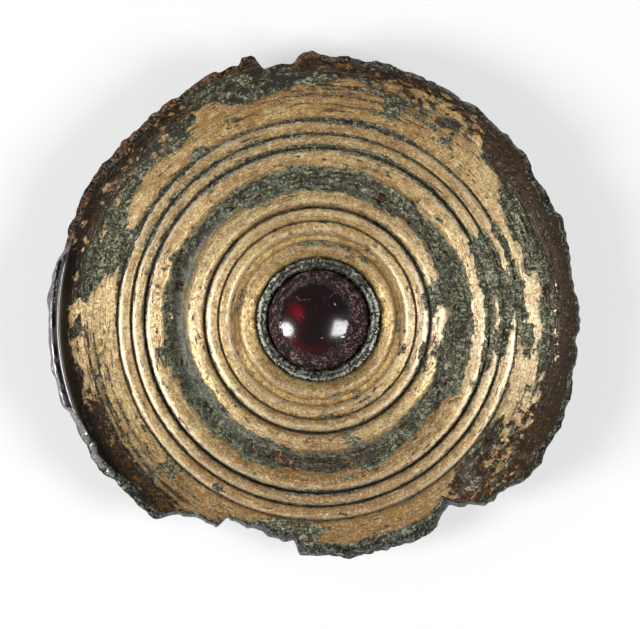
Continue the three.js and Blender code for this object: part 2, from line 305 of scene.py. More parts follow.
# Patches with no gilding: from and to degrees, inner and outer radius
BARE_PATCHES = [
    ("right, between the inner rings", 2.5, 19.0, 9.3, 10.65),
    ("right, inside the channel", 4.5, 17.5, 10.5, 11.6),
    ("right, by the thick groove", 342, 388, 14.62, 15.55),
    ("right, middle rings", -11, 27.5, 15.5, 16.75),
    ("right, outer ring", -2, 15.5, 16.4, 17.9),
    ("right, border", -7, 12.5, 17.5, 18.3),
    ("right, under the border", 15, 27.8, 17.2, 17.85),
    ("right, spill across the border", 13, 17, 18.3, 19.6),
    ("top, blue-green fleck", 67.5, 72.5, 18.6, 20.6),
    ("top, second fleck", 54, 59, 20.0, 21.0),
    ("top, third fleck", 53.5, 56, 18.6, 19.4),
    ("top, small spot", 64.6, 66.6, 13.8, 14.25),
    ("top right, small spot", 38, 40.2, 13.45, 13.8),
    ("top left, spot over the groove", 123.4, 129, 17.4, 18.35),
    ("top left, dash", 110.5, 113.5, 18.5, 18.85),
    ("left, spot on the channel ring", 160.3, 161.8, 13.9, 14.2),
    ("left, lip patch", 180, 184.6, 20.4, 21.7),
    ("left, small dash", 180.5, 183.5, 18.7, 18.95),
    ("lower left, patch on the border", 222, 227.5, 17.9, 18.5),
    ("lower left, dash", 214.5, 216.5, 18.3, 18.65),
    ("lower left, spot on the ring", 238.9, 242.2, 16.6, 17.35),
    ("bottom, wide patch", 253.4, 269.5, 17.62, 20.6),
    ("bottom, end of the wide patch", 266, 272, 17.6, 18.7),
    ("bottom, spot on the ring", 276.6, 278, 16.75, 17.3),
    ("bottom, spot on the channel ring", 279.8, 284.4, 13.85, 14.2),
    ("bottom, spill inside the channel", 284.5, 289.5, 9.95, 11.9),
    ("lower right, dark patch", 311.5, 329, 17.55, 18.9),
    ("lower right, dark patch above it", 309, 318, 18.9, 20.4),
    ("lower right, spot in the groove", 337.5, 347.5, 9.25, 10.1),
    ("lower right, spill inside the channel", 342.5, 347.8, 10.3, 11.4),
    ("right, lower border", 350, 360, 18.2, 19.0),
    ("lower left, spot in the groove", 219, 229, 9.6, 10.05),
    ("lower left, spot on the ring", 218, 221.5, 9.0, 9.35),
    ("top, inside the hollow", 64, 103, 6.45, 6.75),
    ("top right, inside the hollow", 46, 56, 6.55, 6.95),
    ("bottom, inside the hollow", 280.5, 287.5, 6.4, 6.9),
    ("bottom right, dashes on the ring", 293.5, 306, 7.8, 7.98),
    ("bottom, dashes on the ring", 275, 283, 8.55, 8.75),
    ("bottom right, dash in the hair line", 326, 334, 8.52, 8.72),
    ("right, spot on the ring", 339.5, 346, 7.68, 7.95),
    ("right, spot in the hollow", 352, 359.5, 6.95, 7.25),
    ("left, in the hollow", 160, 176, 6.75, 6.95),
]

# Gilding that is left inside bare ground
GILDED_ISLANDS = [
    ("right, sliver inside the channel", -1.5, 6.5, 10.35, 11.6),
    ("right, streak between the patches", -3, 8.5, 15.5, 15.85),
    ("right, long streak", -6, 12, 14.0, 14.55),
    ("right, streak by the outer ring", 10.5, 24, 16.95, 17.12),
    ("right, rim of the outer ring", -1, 1.6, 16.85, 17.4),
    ("right, fleck under the border", 353, 358, 17.3, 17.65),
    ("left, long fleck", 155.2, 161.2, 20.05, 20.4),
    ("left, ring fleck", 168.8, 171.2, 21.15, 21.65),
    ("left, small fleck", 161.2, 162.2, 20.3, 20.6),
    ("left, top of the patch", 177.6, 181.2, 21.2, 21.75),
    ("left, spot in the channel", 178.3, 180.3, 12.55, 12.9),
    ("lower left, streak", 194, 200, 20.9, 21.2),
    ("lower left, long streak", 203, 212, 20.75, 20.9),
    ("lower left, short streak", 196, 202, 21.3, 21.5),
]

# Rows of small flecks of gilding: from and to degrees, radius, spread, how many and their size
FLECKS = [
    ("upper left band", 122, 166, 21.6, 0.75, 34, 0.17),
    ("upper left, under the band", 123, 150, 20.5, 0.35, 16, 0.2),
    ("right band", 350, 375, 20.75, 0.3, 26, 0.11),
    ("lower right row", 328, 346, 20.15, 0.3, 30, 0.17),
    ("top", 48, 90, 22.0, 0.45, 40, 0.13),
    ("lower left band", 190, 212, 21.2, 0.5, 18, 0.13),
    ("lower right, above the patch", 309, 326, 20.9, 0.7, 30, 0.16),
    ("right, in the bare ground", 352, 372, 17.9, 1.4, 18, 0.1),
]

# Small bare pits in the gilding, of the same form
PITS = [
    ("top, mottled band", 50, 92, 21.1, 0.9, 90, 0.2),
    ("top, under the mottled band", 52, 72, 19.9, 0.6, 26, 0.17),
    ("left border", 181, 232, 19.0, 1.3, 46, 0.12),
    ("lower right border", 306, 342, 19.6, 0.8, 44, 0.16),
    ("lower right patch", 308, 332, 19.1, 1.2, 60, 0.24),
    ("bottom border", 243, 306, 19.0, 0.9, 30, 0.1),
    ("channel ring", 0, 360, 14.1, 0.55, 70, 0.09),
    ("inner rings", 0, 360, 10.5, 0.5, 46, 0.08),
    ("inner mouldings", 0, 360, 7.9, 1.0, 60, 0.07),
    ("outer border", 35, 125, 18.9, 0.9, 34, 0.09),
]

# Where the bare ground is smooth and brown, from this radius out to the rim
BROWN_FROM = [
    (0, 20.5), (18, 20.3), (33, 20.1), (40, 20.0), (52, 20.7), (62, 20.9), (84, 21.2),
    (96, 21.6), (104, 22.6), (120, 22.6), (123, 21.2), (140, 21.0), (158, 21.0), (170, 20.9),
    (176, 21.4), (185, 21.6), (192, 20.9), (200, 20.0), (232, 19.9), (246, 20.4),
    (250, 24.0), (304, 24.0), (308, 19.8), (320, 19.0), (334, 19.4), (344, 19.8),
    (352, 20.3),
]
BROWN_PATCH = ("lower right, under the rim", 306, 334, 17.5, 21.0)
# How brown the channel is, how mottled the brown ground is, where the break has copper oxide,
# how warm the gilding is and how pale green its edges are, round the turn
BROWN_CHANNEL = [(0, 0.0), (235, 0.0), (255, 0.55), (290, 0.6), (308, 0.0)]
MOTTLED = [(44, 0.0), (52, 0.7), (84, 0.8), (92, 0.3), (100, 0.0), (306, 0.0),
           (310, 0.8), (326, 0.8), (334, 0.1), (340, 0.0)]
COPPER_EDGE = [(84, 0.0), (88, 0.9), (93, 0.9), (97, 0.1), (103, 0.2), (108, 1.0),
               (118, 0.9), (126, 0.7), (140, 0.85), (152, 0.6), (158, 0.9), (163, 0.3),
               (168, 0.0)]
WARMTH = [(0, 0.15), (30, 0.3), (70, 0.6), (110, 0.6), (150, 0.35), (180, 0.15),
          (215, 0.4), (240, 0.85), (255, 1.1), (285, 1.2), (305, 0.9), (325, 0.45)]
VERDIGRIS = [(0, 0.25), (30, 0.3), (62, 0.55), (82, 0.95), (100, 0.9), (112, 0.6),
             (140, 0.35), (160, 0.6), (180, 0.55), (200, 0.8), (225, 0.8), (250, 0.65),
             (270, 0.45), (290, 0.45), (310, 0.35), (335, 0.3)]

# Noise: how many random numbers it has, the primes of its hash, and how a finer layer weakens
HASH_SIZE = 4096
HASH_PRIMES = (73856093, 19349663, 83492791)
LAYER_STRENGTH = 0.55
# Sums of noise, each a list of (size, grain, seed): the rag of the broken edge, the bends of the
# gilding's edges, the collar's outer edge, the edge of the stone's crown, and its pits
EDGE_RAG = [(0.65, 0.5, 11), (0.35, 0.26, 12)]
EDGE_BENDS = [(0.16, 1.3, 21), (0.14, 0.5, 22)]
COLLAR_WANDER = [(0.1, 1.4, 75), (0.08, 0.6, 76)]
CROWN_EDGE = [(0.16, 0.9, 83), (0.1, 0.35, 84)]
STONE_PITS = [(0.5, 0.34, 81), (0.5, 0.16, 82)]
# How noise swings the gilding's edges round the turn: (size, scale along, grain across, seed)
EDGE_SWINGS = [(0.75, 3.5, 0.34, 23), (0.3, 9.0, 0.2, 24)]

# The face's relief, in millimetres: how softly the gilding's edge ends, and the height and grain
# of the cast's swell; and the grain of the ground and of the broken face
SKIN_EDGE = 0.08
SWELL_HEIGHT = 0.03
SWELL_GRAIN = 4.0
GROUND_GRAIN = 0.42
CRUMB_GRAIN = 0.34
# How the break falls with its share of the way out, and the least height of its foot
BREAK_CURVE = 1.7
BREAK_FOOT = 0.12

# Rows of the saucer over the rings: where they end, their step, the least step, and how far
# beside a groove's middle one runs
RING_ROWS_END = 17.8
ROW_STEP = 0.19
LEAST_STEP = 0.055
BESIDE_GROOVE = 0.08
# Rows in the cell as (radius, height), rows on the flat back, and shares of the way down the
# broken face and back in under the rim. Past CLOSE_FROM of the way out to the break, rows stand
# closer
CELL_ROWS = [
    (1.8, SEAT_FLOOR), (3.6, SEAT_FLOOR), (SEAT_RADIUS - 0.12, SEAT_FLOOR),
    (SEAT_RADIUS - 0.02, SEAT_FLOOR + 0.08), (SEAT_RADIUS, SEAT_FLOOR + 0.6),
]
BACK_ROWS = (19.55, 18.4, 16.2, 13.6, 10.8, 7.8, 4.6, 1.8)
BREAK_SHARES = (0.22, 0.42, 0.62, 0.8, 0.93, 1.0)
UNDER_SHARES = (0.66, 0.33)
CLOSE_FROM = 0.76


def smooth_step(value, low, high):
    """0 below low, 1 above high, and 3t squared less 2t cubed between them."""
    t = np.clip((value - low) / (high - low), 0.0, 1.0)
    return t * t * (3.0 - 2.0 * t)


def around(curve, degrees):
    """A value round the turn: straight between the (degrees, value) points, closed at 360."""
    at, value = np.array(curve, float).T
    return np.interp(degrees, at, value, period=FULL_TURN)


def band(radius, place):
    """1 in the middle of a band along the rings, falling off by e to the minus squared share."""
    middle, half = place
    return np.exp(-(((radius - middle) / half) ** 2))


def angle_from(degrees, at):
    """How far round a point lies from a direction, from -180 to 180 degrees."""
    return (degrees - at + 180.0) % FULL_TURN - 180.0


def plane(radius, degrees):
    """(x, y) of a point from its radius and its direction."""
    angle = np.radians(degrees)
    return radius * np.cos(angle), radius * np.sin(angle)


def polar(x, y):
    """(radius, degrees) of a point."""
    return np.hypot(x, y), np.degrees(np.arctan2(y, x)) % FULL_TURN


def lattice_noise(x, y, z, grain, seed):
    """Smooth noise from -1 to 1 that changes over about one grain.

    Each corner of a cubic lattice has a random number, picked by a hash of its three whole
    coordinates. A point blends its cube's eight by the S-curve on each axis.
    """
    table = np.random.default_rng(seed).uniform(-1.0, 1.0, HASH_SIZE)
    place = [np.asarray(c, float) / grain for c in (x, y, z)]
    low = [np.floor(c).astype(np.int64) for c in place]
    part = [smooth_step(c - f, 0.0, 1.0) for c, f in zip(place, low)]
    total = 0.0
    for corner in range(8):
        step = [(corner >> axis) & 1 for axis in range(3)]
        hashed = 0
        for f, s, prime in zip(low, step, HASH_PRIMES):
            hashed = hashed ^ ((f + s) * prime)
        weight = 1.0
        for p, s in zip(part, step):
            weight = weight * (p if s else 1.0 - p)
        total = total + table[hashed & (HASH_SIZE - 1)] * weight
    return total


def add_noise(value, x, y, z, layers):
    """A value with noise added to it, from the (size, grain, seed) of its layers."""
    for size, grain, seed in layers:
        value = value + size * lattice_noise(x, y, z, grain, seed)
    return value


def layered_noise(x, y, z, grain, seed, layers=3):
    """Noise with finer layers on it: each has half the grain and a set share of the strength."""
    total, strength, whole = 0.0, 1.0, 0.0
    for layer in range(layers):
        total = total + strength * lattice_noise(x, y, z, grain / 2**layer, seed + layer)
        whole += strength
        strength *= LAYER_STRENGTH
    return total / whole


def eased_profile(points):
    """A smooth height over the radius through the (radius, height) points.

    A cubic joins each two neighbours. Its slope at a point is the harmonic mean of the slopes
    on both sides, and 0 where they turn, so that a crest or a groove stays where it is.
    """
    at, height = np.array(points, float).T
    rise = np.diff(height) / np.diff(at)
    turn = rise[:-1] * rise[1:] > 0
    safe = np.where(turn, rise[:-1] + rise[1:], 1.0)
    inner = np.where(turn, 2.0 * rise[:-1] * rise[1:] / safe, 0.0)
    slope = np.concatenate([rise[:1], inner, rise[-1:]])

    def height_at(radius):
        r = np.clip(radius, at[0], at[-1])
        i = np.clip(np.searchsorted(at, r, side="right") - 1, 0, len(at) - 2)
        span = at[i + 1] - at[i]
        t = (r - at[i]) / span
        return (
            height[i] * (1 + 2 * t) * (1 - t) ** 2
            + height[i + 1] * t * t * (3 - 2 * t)
            + span * (slope[i] * t * (1 - t) ** 2 - slope[i + 1] * t * t * (1 - t))
        )

    return height_at


face_height = eased_profile(RINGS)
lip_height = eased_profile(LIP)


def under_height(radius):
    """Height of the underside: 0 on the flat back, then straight between its points."""
    at, height = np.array(UNDERSIDE).T
    return np.interp(radius, at, height)


def event_reach(event, degrees):
    """1 within an event's half width and 0 past its run-out, by the S-curve between."""
    _, at, half, run, _ = event
    return smooth_step(half + run - np.abs(angle_from(degrees, at)), 0.0, run)


def broken_radius(degrees, rag):
    """Radius of the edge: the worn radius, each event's share, three waves and fine rag."""
    radius = WORN_RADIUS + sum(e[4] * event_reach(e, degrees) for e in RIM_EVENTS)
    for waves, phase, size in RAGGED:
        radius = radius + size * np.sin(waves * np.radians(degrees) + phase)
    x, y = plane(EDGE_CIRCLE, degrees)
    whole = event_reach(LIP_EVENT, degrees)
    return radius + rag * (1.0 - 0.75 * whole) * add_noise(0.0, x, y, 0, EDGE_RAG)


def worn_face_radius(degrees, rag):
    """Radius where the worn face ends and the break begins."""
    x, y = plane(EDGE_CIRCLE, degrees)
    width = around(BREAK_WIDTH, degrees) * (1.0 + 0.35 * lattice_noise(x, y, 3.0, 1.1, 13))
    return broken_radius(degrees, rag) - width


def ring_centre(radius):
    """How far the rings' centre stands off at that radius: 0, then in full, then 0 again."""
    share = smooth_step(radius, SHIFT_FROM, SHIFT_FULL)
    share = share * (1.0 - smooth_step(radius, SHIFT_UNTIL, SHIFT_GONE))
    return RING_SHIFT[0] * share, RING_SHIFT[1] * share


def ring_place(x, y):
    """(radius, degrees) of a point in the rings' own polar frame, found in two steps."""
    radius = np.hypot(x, y)
    for _ in range(2):
        cx, cy = ring_centre(radius)
        radius = np.hypot(x - cx, y - cy)
    return polar(x - cx, y - cy)


def depth_in_patch(radius, degrees, patch):
    """How deep a point lies in a patch, in millimetres, and negative outside it.

    It is the distance to a box with round corners, laid flat: arc length one way, radius the
    other.
    """
    _, start, end, inner, outer = patch
    middle = (inner + outer) / 2
    half_arc = math.radians(end - start) * middle / 2
    half_deep = (outer - inner) / 2
    corner = min(half_arc, half_deep)
    turned = angle_from(degrees, (start + end) / 2)
    across = np.abs(np.radians(turned) * middle) - half_arc + corner
    along = np.abs(radius - middle) - half_deep + corner
    outside = np.hypot(np.maximum(across, 0.0), np.maximum(along, 0.0))
    inside = np.minimum(np.maximum(across, along), 0.0)
    return corner - outside - inside


def depth_in_spots(radius, degrees, rows, seed):
    """How deep a point lies in the nearest of the small round spots of these rows."""
    draw = np.random.default_rng(seed)
    best = np.full(radius.shape, -9.0)
    for _, start, end, at, spread, count, size in rows:
        spot_degrees = draw.uniform(start, end, count)
        spot_radius = at + spread * draw.uniform(-1.0, 1.0, count)
        spot_size = size * draw.uniform(0.45, 1.25, count)
        stretch = draw.uniform(1.0, 2.0, count)
        near = np.abs(radius - at) < spread + 3 * size
        for d, r, s, long in zip(spot_degrees, spot_radius, spot_size, stretch):
            arc = np.radians(angle_from(degrees[near], d)) * r / long
            best[near] = np.maximum(best[near], s - np.hypot(arc, radius[near] - r))
    return best


def gilding_depth(radius, degrees, rag):
    """How far inside the gilding a point of the face lies, in millimetres, negative if bare.

    It is the least of the distances to the edge towards the rim, the channel and the grooves,
    less the bare patches and pits, and then the islands and flecks are put back. Noise bends
    every edge but the grooves'. What it adds to the angle changes fast across the rings and
    slowly along them, so that edges run out in tongues along the turning.
    """
    cos, sin = plane(1.0, degrees)
    x, y = radius * cos, radius * sin
    bent = add_noise(radius, x, y, 0, EDGE_BENDS)
    arc = 0.0
    for size, along, across, seed in EDGE_SWINGS:
        arc = arc + size * lattice_noise(along * cos, along * sin, radius / across, 1.0, seed)
    swung = degrees + np.degrees(arc / radius)
    depth = np.minimum(around(GILDING_EDGE, swung) - bent, radius - SEAT_RADIUS - 0.02)
    channel = np.minimum(around(CHANNEL_OUTER, swung) - bent, bent - around(CHANNEL_INNER, swung))
    depth = np.minimum(depth, -channel)
    for _, at, half_width in GROOVES:
        half = around(half_width, degrees) * (1.0 + 0.3 * lattice_noise(x, y, 9.0, 0.6, 25))
        depth = np.minimum(depth, np.abs(radius - at) - half)
    for patch in BARE_PATCHES:
        depth = np.minimum(depth, -depth_in_patch(bent, swung, patch))
    depth = np.minimum(depth, -depth_in_spots(bent, swung, PITS, 31))
    for patch in GILDED_ISLANDS:
        depth = np.maximum(depth, depth_in_patch(bent, swung, patch))
    depth = np.maximum(depth, depth_in_spots(bent, swung, FLECKS, 32))
    return np.minimum(depth, worn_face_radius(degrees, rag) - radius - 0.15)


def face_relief(radius, degrees, settings):
    """Height that wear adds to the turned face, in millimetres.

    Gilding stands a skin's height over bare ground, which is grainy but where it is brown or
    shines. The cast swells a little all over. Corrosion fills part of the grooves' depth where
    the gilding is gone from them. Along the lip that is left, the height blends to its profile.
    """
    x, y = plane(radius, degrees)
    gilded = smooth_step(gilding_depth(radius, degrees, settings.rag / MM), -SKIN_EDGE, SKIN_EDGE)
    grain = settings.grain / MM * layered_noise(x, y, 1.0, GROUND_GRAIN, 41, 2)
    brown = smooth_step(radius, around(BROWN_FROM, degrees) - 0.2, around(BROWN_FROM, degrees))
    smooth = (1.0 - 0.8 * brown) * (1.0 - 0.85 * channel_sheen(radius, degrees))
    relief = settings.skin / MM * (gilded - 1.0) + grain * (1.0 - gilded) * smooth
    relief = relief + SWELL_HEIGHT * layered_noise(x, y, 2.0, SWELL_GRAIN, 42, 2)
    for _, at, _ in WIDE_GROOVES:
        filled = around(FILLED_UP, degrees) * band(radius, (at, FILL_HALF))
        relief = relief + FILL_HEIGHT * filled * (1.0 - gilded)
    lip = event_reach(LIP_RUN, degrees) * smooth_step(radius, LIP[0][0], LIP[1][0])
    relief = relief * (1.0 - 0.7 * lip) + lip * (lip_height(radius) - face_height(radius))
    return relief * smooth_step(radius, SEAT_RADIUS, SEAT_RADIUS + 0.25)


def channel_sheen(radius, degrees):
    """How far the bare foot of the channel's inner side is polished and given a painted sheen, 0 to
    1.
    """
    return around(SHINING, degrees) * band(radius, CHANNEL_FOOT)


def face_rows():
    """Radii of the face's rows where the rings are: even steps, and rows in every groove."""
    even = np.arange(SEAT_RADIUS, RING_ROWS_END + 0.15, ROW_STEP)
    knots = [r for r, _ in RINGS if r < RING_ROWS_END]
    sides = (-BESIDE_GROOVE, 0.0, BESIDE_GROOVE)
    beside = [at + side for _, at, _ in RING_GROOVES for side in sides]
    rows = np.unique(np.round(np.concatenate([even, knots, beside]), 3))
    keep = [rows[0]]
    for row in rows[1:]:
        fixed = any(abs(row - f) < 1e-6 for f in knots + beside)
        if row - keep[-1] > LEAST_STEP or fixed:
            keep.append(row)
    return np.array(keep)


def grid_faces(rows, steps, rows_close=False):
    """Quads of a grid whose last step meets the first, and its last row the first if asked."""
    i, j = np.meshgrid(np.arange(rows if rows_close else rows - 1), np.arange(steps), indexing="ij")
    after = (j + 1) % steps
    below = (i + 1) % rows
    corners = (i * steps + j, below * steps + j, below * steps + after, i * steps + after)
    return np.stack(corners, -1).reshape(-1, 4)


def closed_turning(rows, steps):
    """Quads of a turned grid and the fans that close it on a point at each end.

    The first point follows the grid's own points, and the last point comes after it.
    """
    j = np.arange(steps)
    after = (j + 1) % steps
    first = rows * steps
    last = first + 1
    end = (rows - 1) * steps
    start_fan = np.stack([np.full(steps, first), j, after], -1)
    end_fan = np.stack([end + j, np.full(steps, last), end + after], -1)
    return grid_faces(rows, steps), np.concatenate([start_fan, end_fan])


def mesh_object(name, points, quads, triangles=None, polygons=()):
    """A new object at the origin with its place in its mesh, from points in millimetres."""
    faces = [quads]
    if triangles is not None and len(triangles):
        faces.append(triangles)
    corners = [f.reshape(-1) for f in faces] + [np.array(p) for p in polygons]
    sizes = [np.full(len(f), f.shape[1]) for f in faces] + [np.array([len(p)]) for p in polygons]
    corners = np.concatenate(corners).astype(np.int32)
    sizes = np.concatenate(sizes)
    starts = np.concatenate([[0], np.cumsum(sizes)[:-1]]).astype(np.int32)
    mesh = bpy.data.meshes.new(name)
    mesh.vertices.add(len(points))
    mesh.vertices.foreach_set("co", (points * MM).astype(np.float32).reshape(-1))
    mesh.loops.add(len(corners))
    mesh.loops.foreach_set("vertex_index", corners)
    mesh.polygons.add(len(sizes))
    mesh.polygons.foreach_set("loop_start", starts)
    mesh.update(calc_edges=True)
    mesh.validate()
    made = bpy.data.objects.new(name, mesh)
    bpy.context.scene.collection.objects.link(made)
    return made


def points_of(made):
    """A mesh object's points as a table in millimetres."""
    flat = np.zeros(len(made.data.vertices) * 3, np.float32)
    made.data.vertices.foreach_get("co", flat)
    return flat.reshape(-1, 3).astype(float) / MM


def set_fields(made, **fields):
    """Stores one number of each name for each point of a mesh, for its material to read."""
    for name, values in fields.items():
        field = made.data.attributes.new(name, "FLOAT", "POINT")
        field.data.foreach_set("value", np.asarray(values, np.float32))


def saucer_turning(settings):
    """The saucer without its fittings, as one closed turned surface.

    Its rows run from the middle of the cell's floor up over the rings, out to the break, down
    the broken face and back in under the rim to the middle of the flat back. Past the rings,
    rows keep their share of the way from there to the edge, which is a function of the angle.
    """
    steps = settings.steps
    rag = settings.rag / MM
    degrees = np.arange(steps) * FULL_TURN / steps
    cos, sin = plane(1.0, degrees)
    rows = []

    def add_row(radius, height, around_rings=True):
        radius = np.broadcast_to(radius, degrees.shape)
        cx, cy = ring_centre(radius) if around_rings else (0.0, 0.0)
        height = np.broadcast_to(height, degrees.shape)
        rows.append(np.stack([radius * cos + cx, radius * sin + cy, height], -1))

    def worn_height(at):
        return face_height(at) + face_relief(at, degrees, settings)

    for radius, height in CELL_ROWS:
        add_row(radius, height)
    fixed = face_rows()
    for radius in fixed:
        add_row(radius, worn_height(np.full(steps, radius)))
    face_end = worn_face_radius(degrees, rag)
    half = settings.rim_rows // 2
    far = np.linspace(0, CLOSE_FROM, half + 1)[1:]
    close = np.linspace(CLOSE_FROM, 1, half + 1)[1:]
    for share in (*far, *close):
        at = fixed[-1] + (face_end - fixed[-1]) * share
        add_row(at, worn_height(at))
    edge = broken_radius(degrees, rag)
    top = worn_height(face_end)
    low = under_height(edge) + BREAK_FOOT
    whole = event_reach(LIP_EVENT, degrees)
    for share in BREAK_SHARES:
        at = face_end + (edge - face_end) * share
        height = top + (low - top) * share**BREAK_CURVE
        crumb = layered_noise(at * cos, at * sin, height, CRUMB_GRAIN, 51, 2)
        crumb = settings.crumb / MM * crumb
        add_row(at, height + crumb * (1.0 - 0.9 * whole) * math.sin(math.pi * share) ** 0.5)
    add_row(edge - 0.08, np.minimum(under_height(edge), low - 0.05))
    for share in UNDER_SHARES:
        at = BACK_RADIUS + (np.maximum(edge - 0.08, BACK_RADIUS + 0.3) - BACK_RADIUS) * share
        at = np.minimum(at, edge - 0.1 - 0.1 * (1.0 - share))
        add_row(at, under_height(at))
    for radius in BACK_ROWS:
        at = np.minimum(radius, edge - 0.4 - 0.02 * (BACK_RADIUS - radius))
        sway = 0.02 * lattice_noise(at * cos, at * sin, 7.0, 2.6, 52)
        sway = sway * smooth_step(radius, 0.5, 4.0)
        add_row(at, sway - 0.02, around_rings=False)
    poles = np.array([[0.0, 0.0, SEAT_FLOOR], [0.0, 0.0, 0.0]])
    quads, fans = closed_turning(len(rows), steps)
    points = np.concatenate([np.concatenate(rows), poles])
    return mesh_object("saucer_body", points, quads, fans)


def lug_outline(directions):
    """Distance from the hole's middle to the edge of a lug, in each direction.

    The lug is a convex plate, so it is the least distance to the lines of its sides.
    """
    half, tip = LUG_LENGTH / 2, LUG_TIP / 2
    cut_out, cut_up = LUG_CHAMFER
    right = [
        (tip, -FOOT_DROP), (tip + cut_out, -FOOT_DROP + cut_up), (half, -FOOT_DROP * LUG_SHOULDER),
        (half, ROOT),
    ]
    corners = [(-y, z) for y, z in right[::-1]] + right
    along, up = np.cos(directions), np.sin(directions)
    reach = np.full(len(directions), np.inf)
    for (y0, z0), (y1, z1) in zip(corners, corners[1:] + corners[:1]):
        size = math.hypot(y1 - y0, z1 - z0)
        out_y, out_z = (z1 - z0) / size, (y0 - y1) / size
        far = out_y * y0 + out_z * (z0 + LUG_HOLE_DROP)
        facing = out_y * along + out_z * up
        hit = np.where(facing > 1e-6, far / np.where(facing > 1e-6, facing, 1.0), np.inf)
        reach = np.minimum(reach, hit)
    return reach


def lug(side, steps=96):
    """One lug: a ring of sections round the hole, each a rounded band from hole to edge."""
    directions = np.linspace(0.0, 2 * math.pi, steps, endpoint=False)
    edge = lug_outline(directions)
    half, ease = LUG_THICK / 2, EDGE_EASE
    section = [
        (0.0, 0.0, half - ease), (0.0, ease, half), (1.0, -ease, half), (1.0, 0.0, half - ease),
        (1.0, 0.0, ease - half), (1.0, -ease, -half), (0.0, ease, -half), (0.0, 0.0, ease - half),
    ]
    rows = []
    for share, extra, across in section:
        reach = LUG_HOLE_RADIUS + (edge - LUG_HOLE_RADIUS) * share + extra
        x = np.full(steps, side * (LUG_GAP + LUG_THICK) / 2 + across)
        y = LUG_Y + reach * np.cos(directions)
        z = -LUG_HOLE_DROP + reach * np.sin(directions)
        rows.append(np.stack([x, y, z], -1))
    return np.concatenate(rows), grid_faces(len(section), steps, True)[:, ::-1]


def rounded_section(corners, ease, cuts=3):
    """The corners of a closed outline, each replaced by a short arc of that run-in."""
    rounded = []
    count = len(corners)
    for i, corner in enumerate(corners):
        here = np.array(corner, float)
        before = np.array(corners[i - 1], float) - here
        after = np.array(corners[(i + 1) % count], float) - here
        start = here + before / np.linalg.norm(before) * ease
        end = here + after / np.linalg.norm(after) * ease
        for t in np.linspace(0.0, 1.0, cuts):
            rounded.append((1 - t) ** 2 * start + 2 * t * (1 - t) * here + t * t * end)
    return np.array(rounded)


def pin_catch(rows=9):
    """The catch: a rounded hook section carried along Y, narrowed a little at both ends."""
    left, right = -CATCH_WIDTH / 2, CATCH_WIDTH / 2
    foot = CATCH_LEAF - FOOT_DROP
    inner = right - CATCH_LEAF * 0.8
    corners = [
        (left, ROOT), (left, -FOOT_DROP), (right, -FOOT_DROP), (right, foot + CATCH_LIP),
        (inner, foot + CATCH_LIP), (inner, foot), (left + CATCH_LEAF, foot),
        (left + CATCH_LEAF, ROOT),
    ]
    section = rounded_section(corners, EDGE_EASE)
    aside = left + 0.07 * CATCH_LEAF
    narrow = [((x - left) * CATCH_NARROW + aside, z) for x, z in corners]
    narrow = rounded_section(narrow, EDGE_EASE)
    along = np.linspace(-0.5, 0.5, rows)
    points = []
    for share in along:
        drawn = smooth_step(abs(share), CATCH_END, 0.5) * CATCH_DRAWN
        ring = section * (1.0 - drawn) + narrow * drawn
        y = np.full(len(ring), CATCH_Y + share * CATCH_LENGTH)
        points.append(np.stack([ring[:, 0], y, ring[:, 1]], -1))
    count = len(section)
    quads = grid_faces(rows, count)[:, ::-1]
    first = list(range(count))
    last = list(range((rows - 1) * count, rows * count))
    return np.concatenate(points), quads, (first, last[::-1])


def fittings():
    """Both lugs and the catch as one object, for joining to the saucer."""
    points, quads = [], []
    count = 0
    for side in (-1, 1):
        part, faces = lug(side)
        points.append(part)
        quads.append(faces + count)
        count += len(part)
    part, faces, caps = pin_catch()
    points.append(part)
    quads.append(faces + count)
    caps = [[c + count for c in cap] for cap in caps]
    return mesh_object("fittings", np.concatenate(points), np.concatenate(quads), None, caps)


def edit_mesh(made, change):
    """Makes one change to an object's mesh."""
    work = bmesh.new()
    work.from_mesh(made.data)
    change(work)
    work.to_mesh(made.data)
    work.free()


def face_outward(work):
    """Turns a closed mesh's faces to point out."""
    bmesh.ops.recalc_face_normals(work, faces=work.faces)


def join_solid(body, added):
    """Unites two closed meshes into one skin and drops the second object."""
    union = body.modifiers.new("union", "BOOLEAN")
    union.operation = "UNION"
    union.solver = "MANIFOLD"
    union.object = added
    graph = bpy.context.evaluated_depsgraph_get()
    joined = bpy.data.meshes.new_from_object(body.evaluated_get(graph))
    body.modifiers.clear()
    old = body.data
    body.data = joined
    bpy.data.meshes.remove(old)
    joined.name = body.name
    gone = added.data
    bpy.data.objects.remove(added)
    bpy.data.meshes.remove(gone)


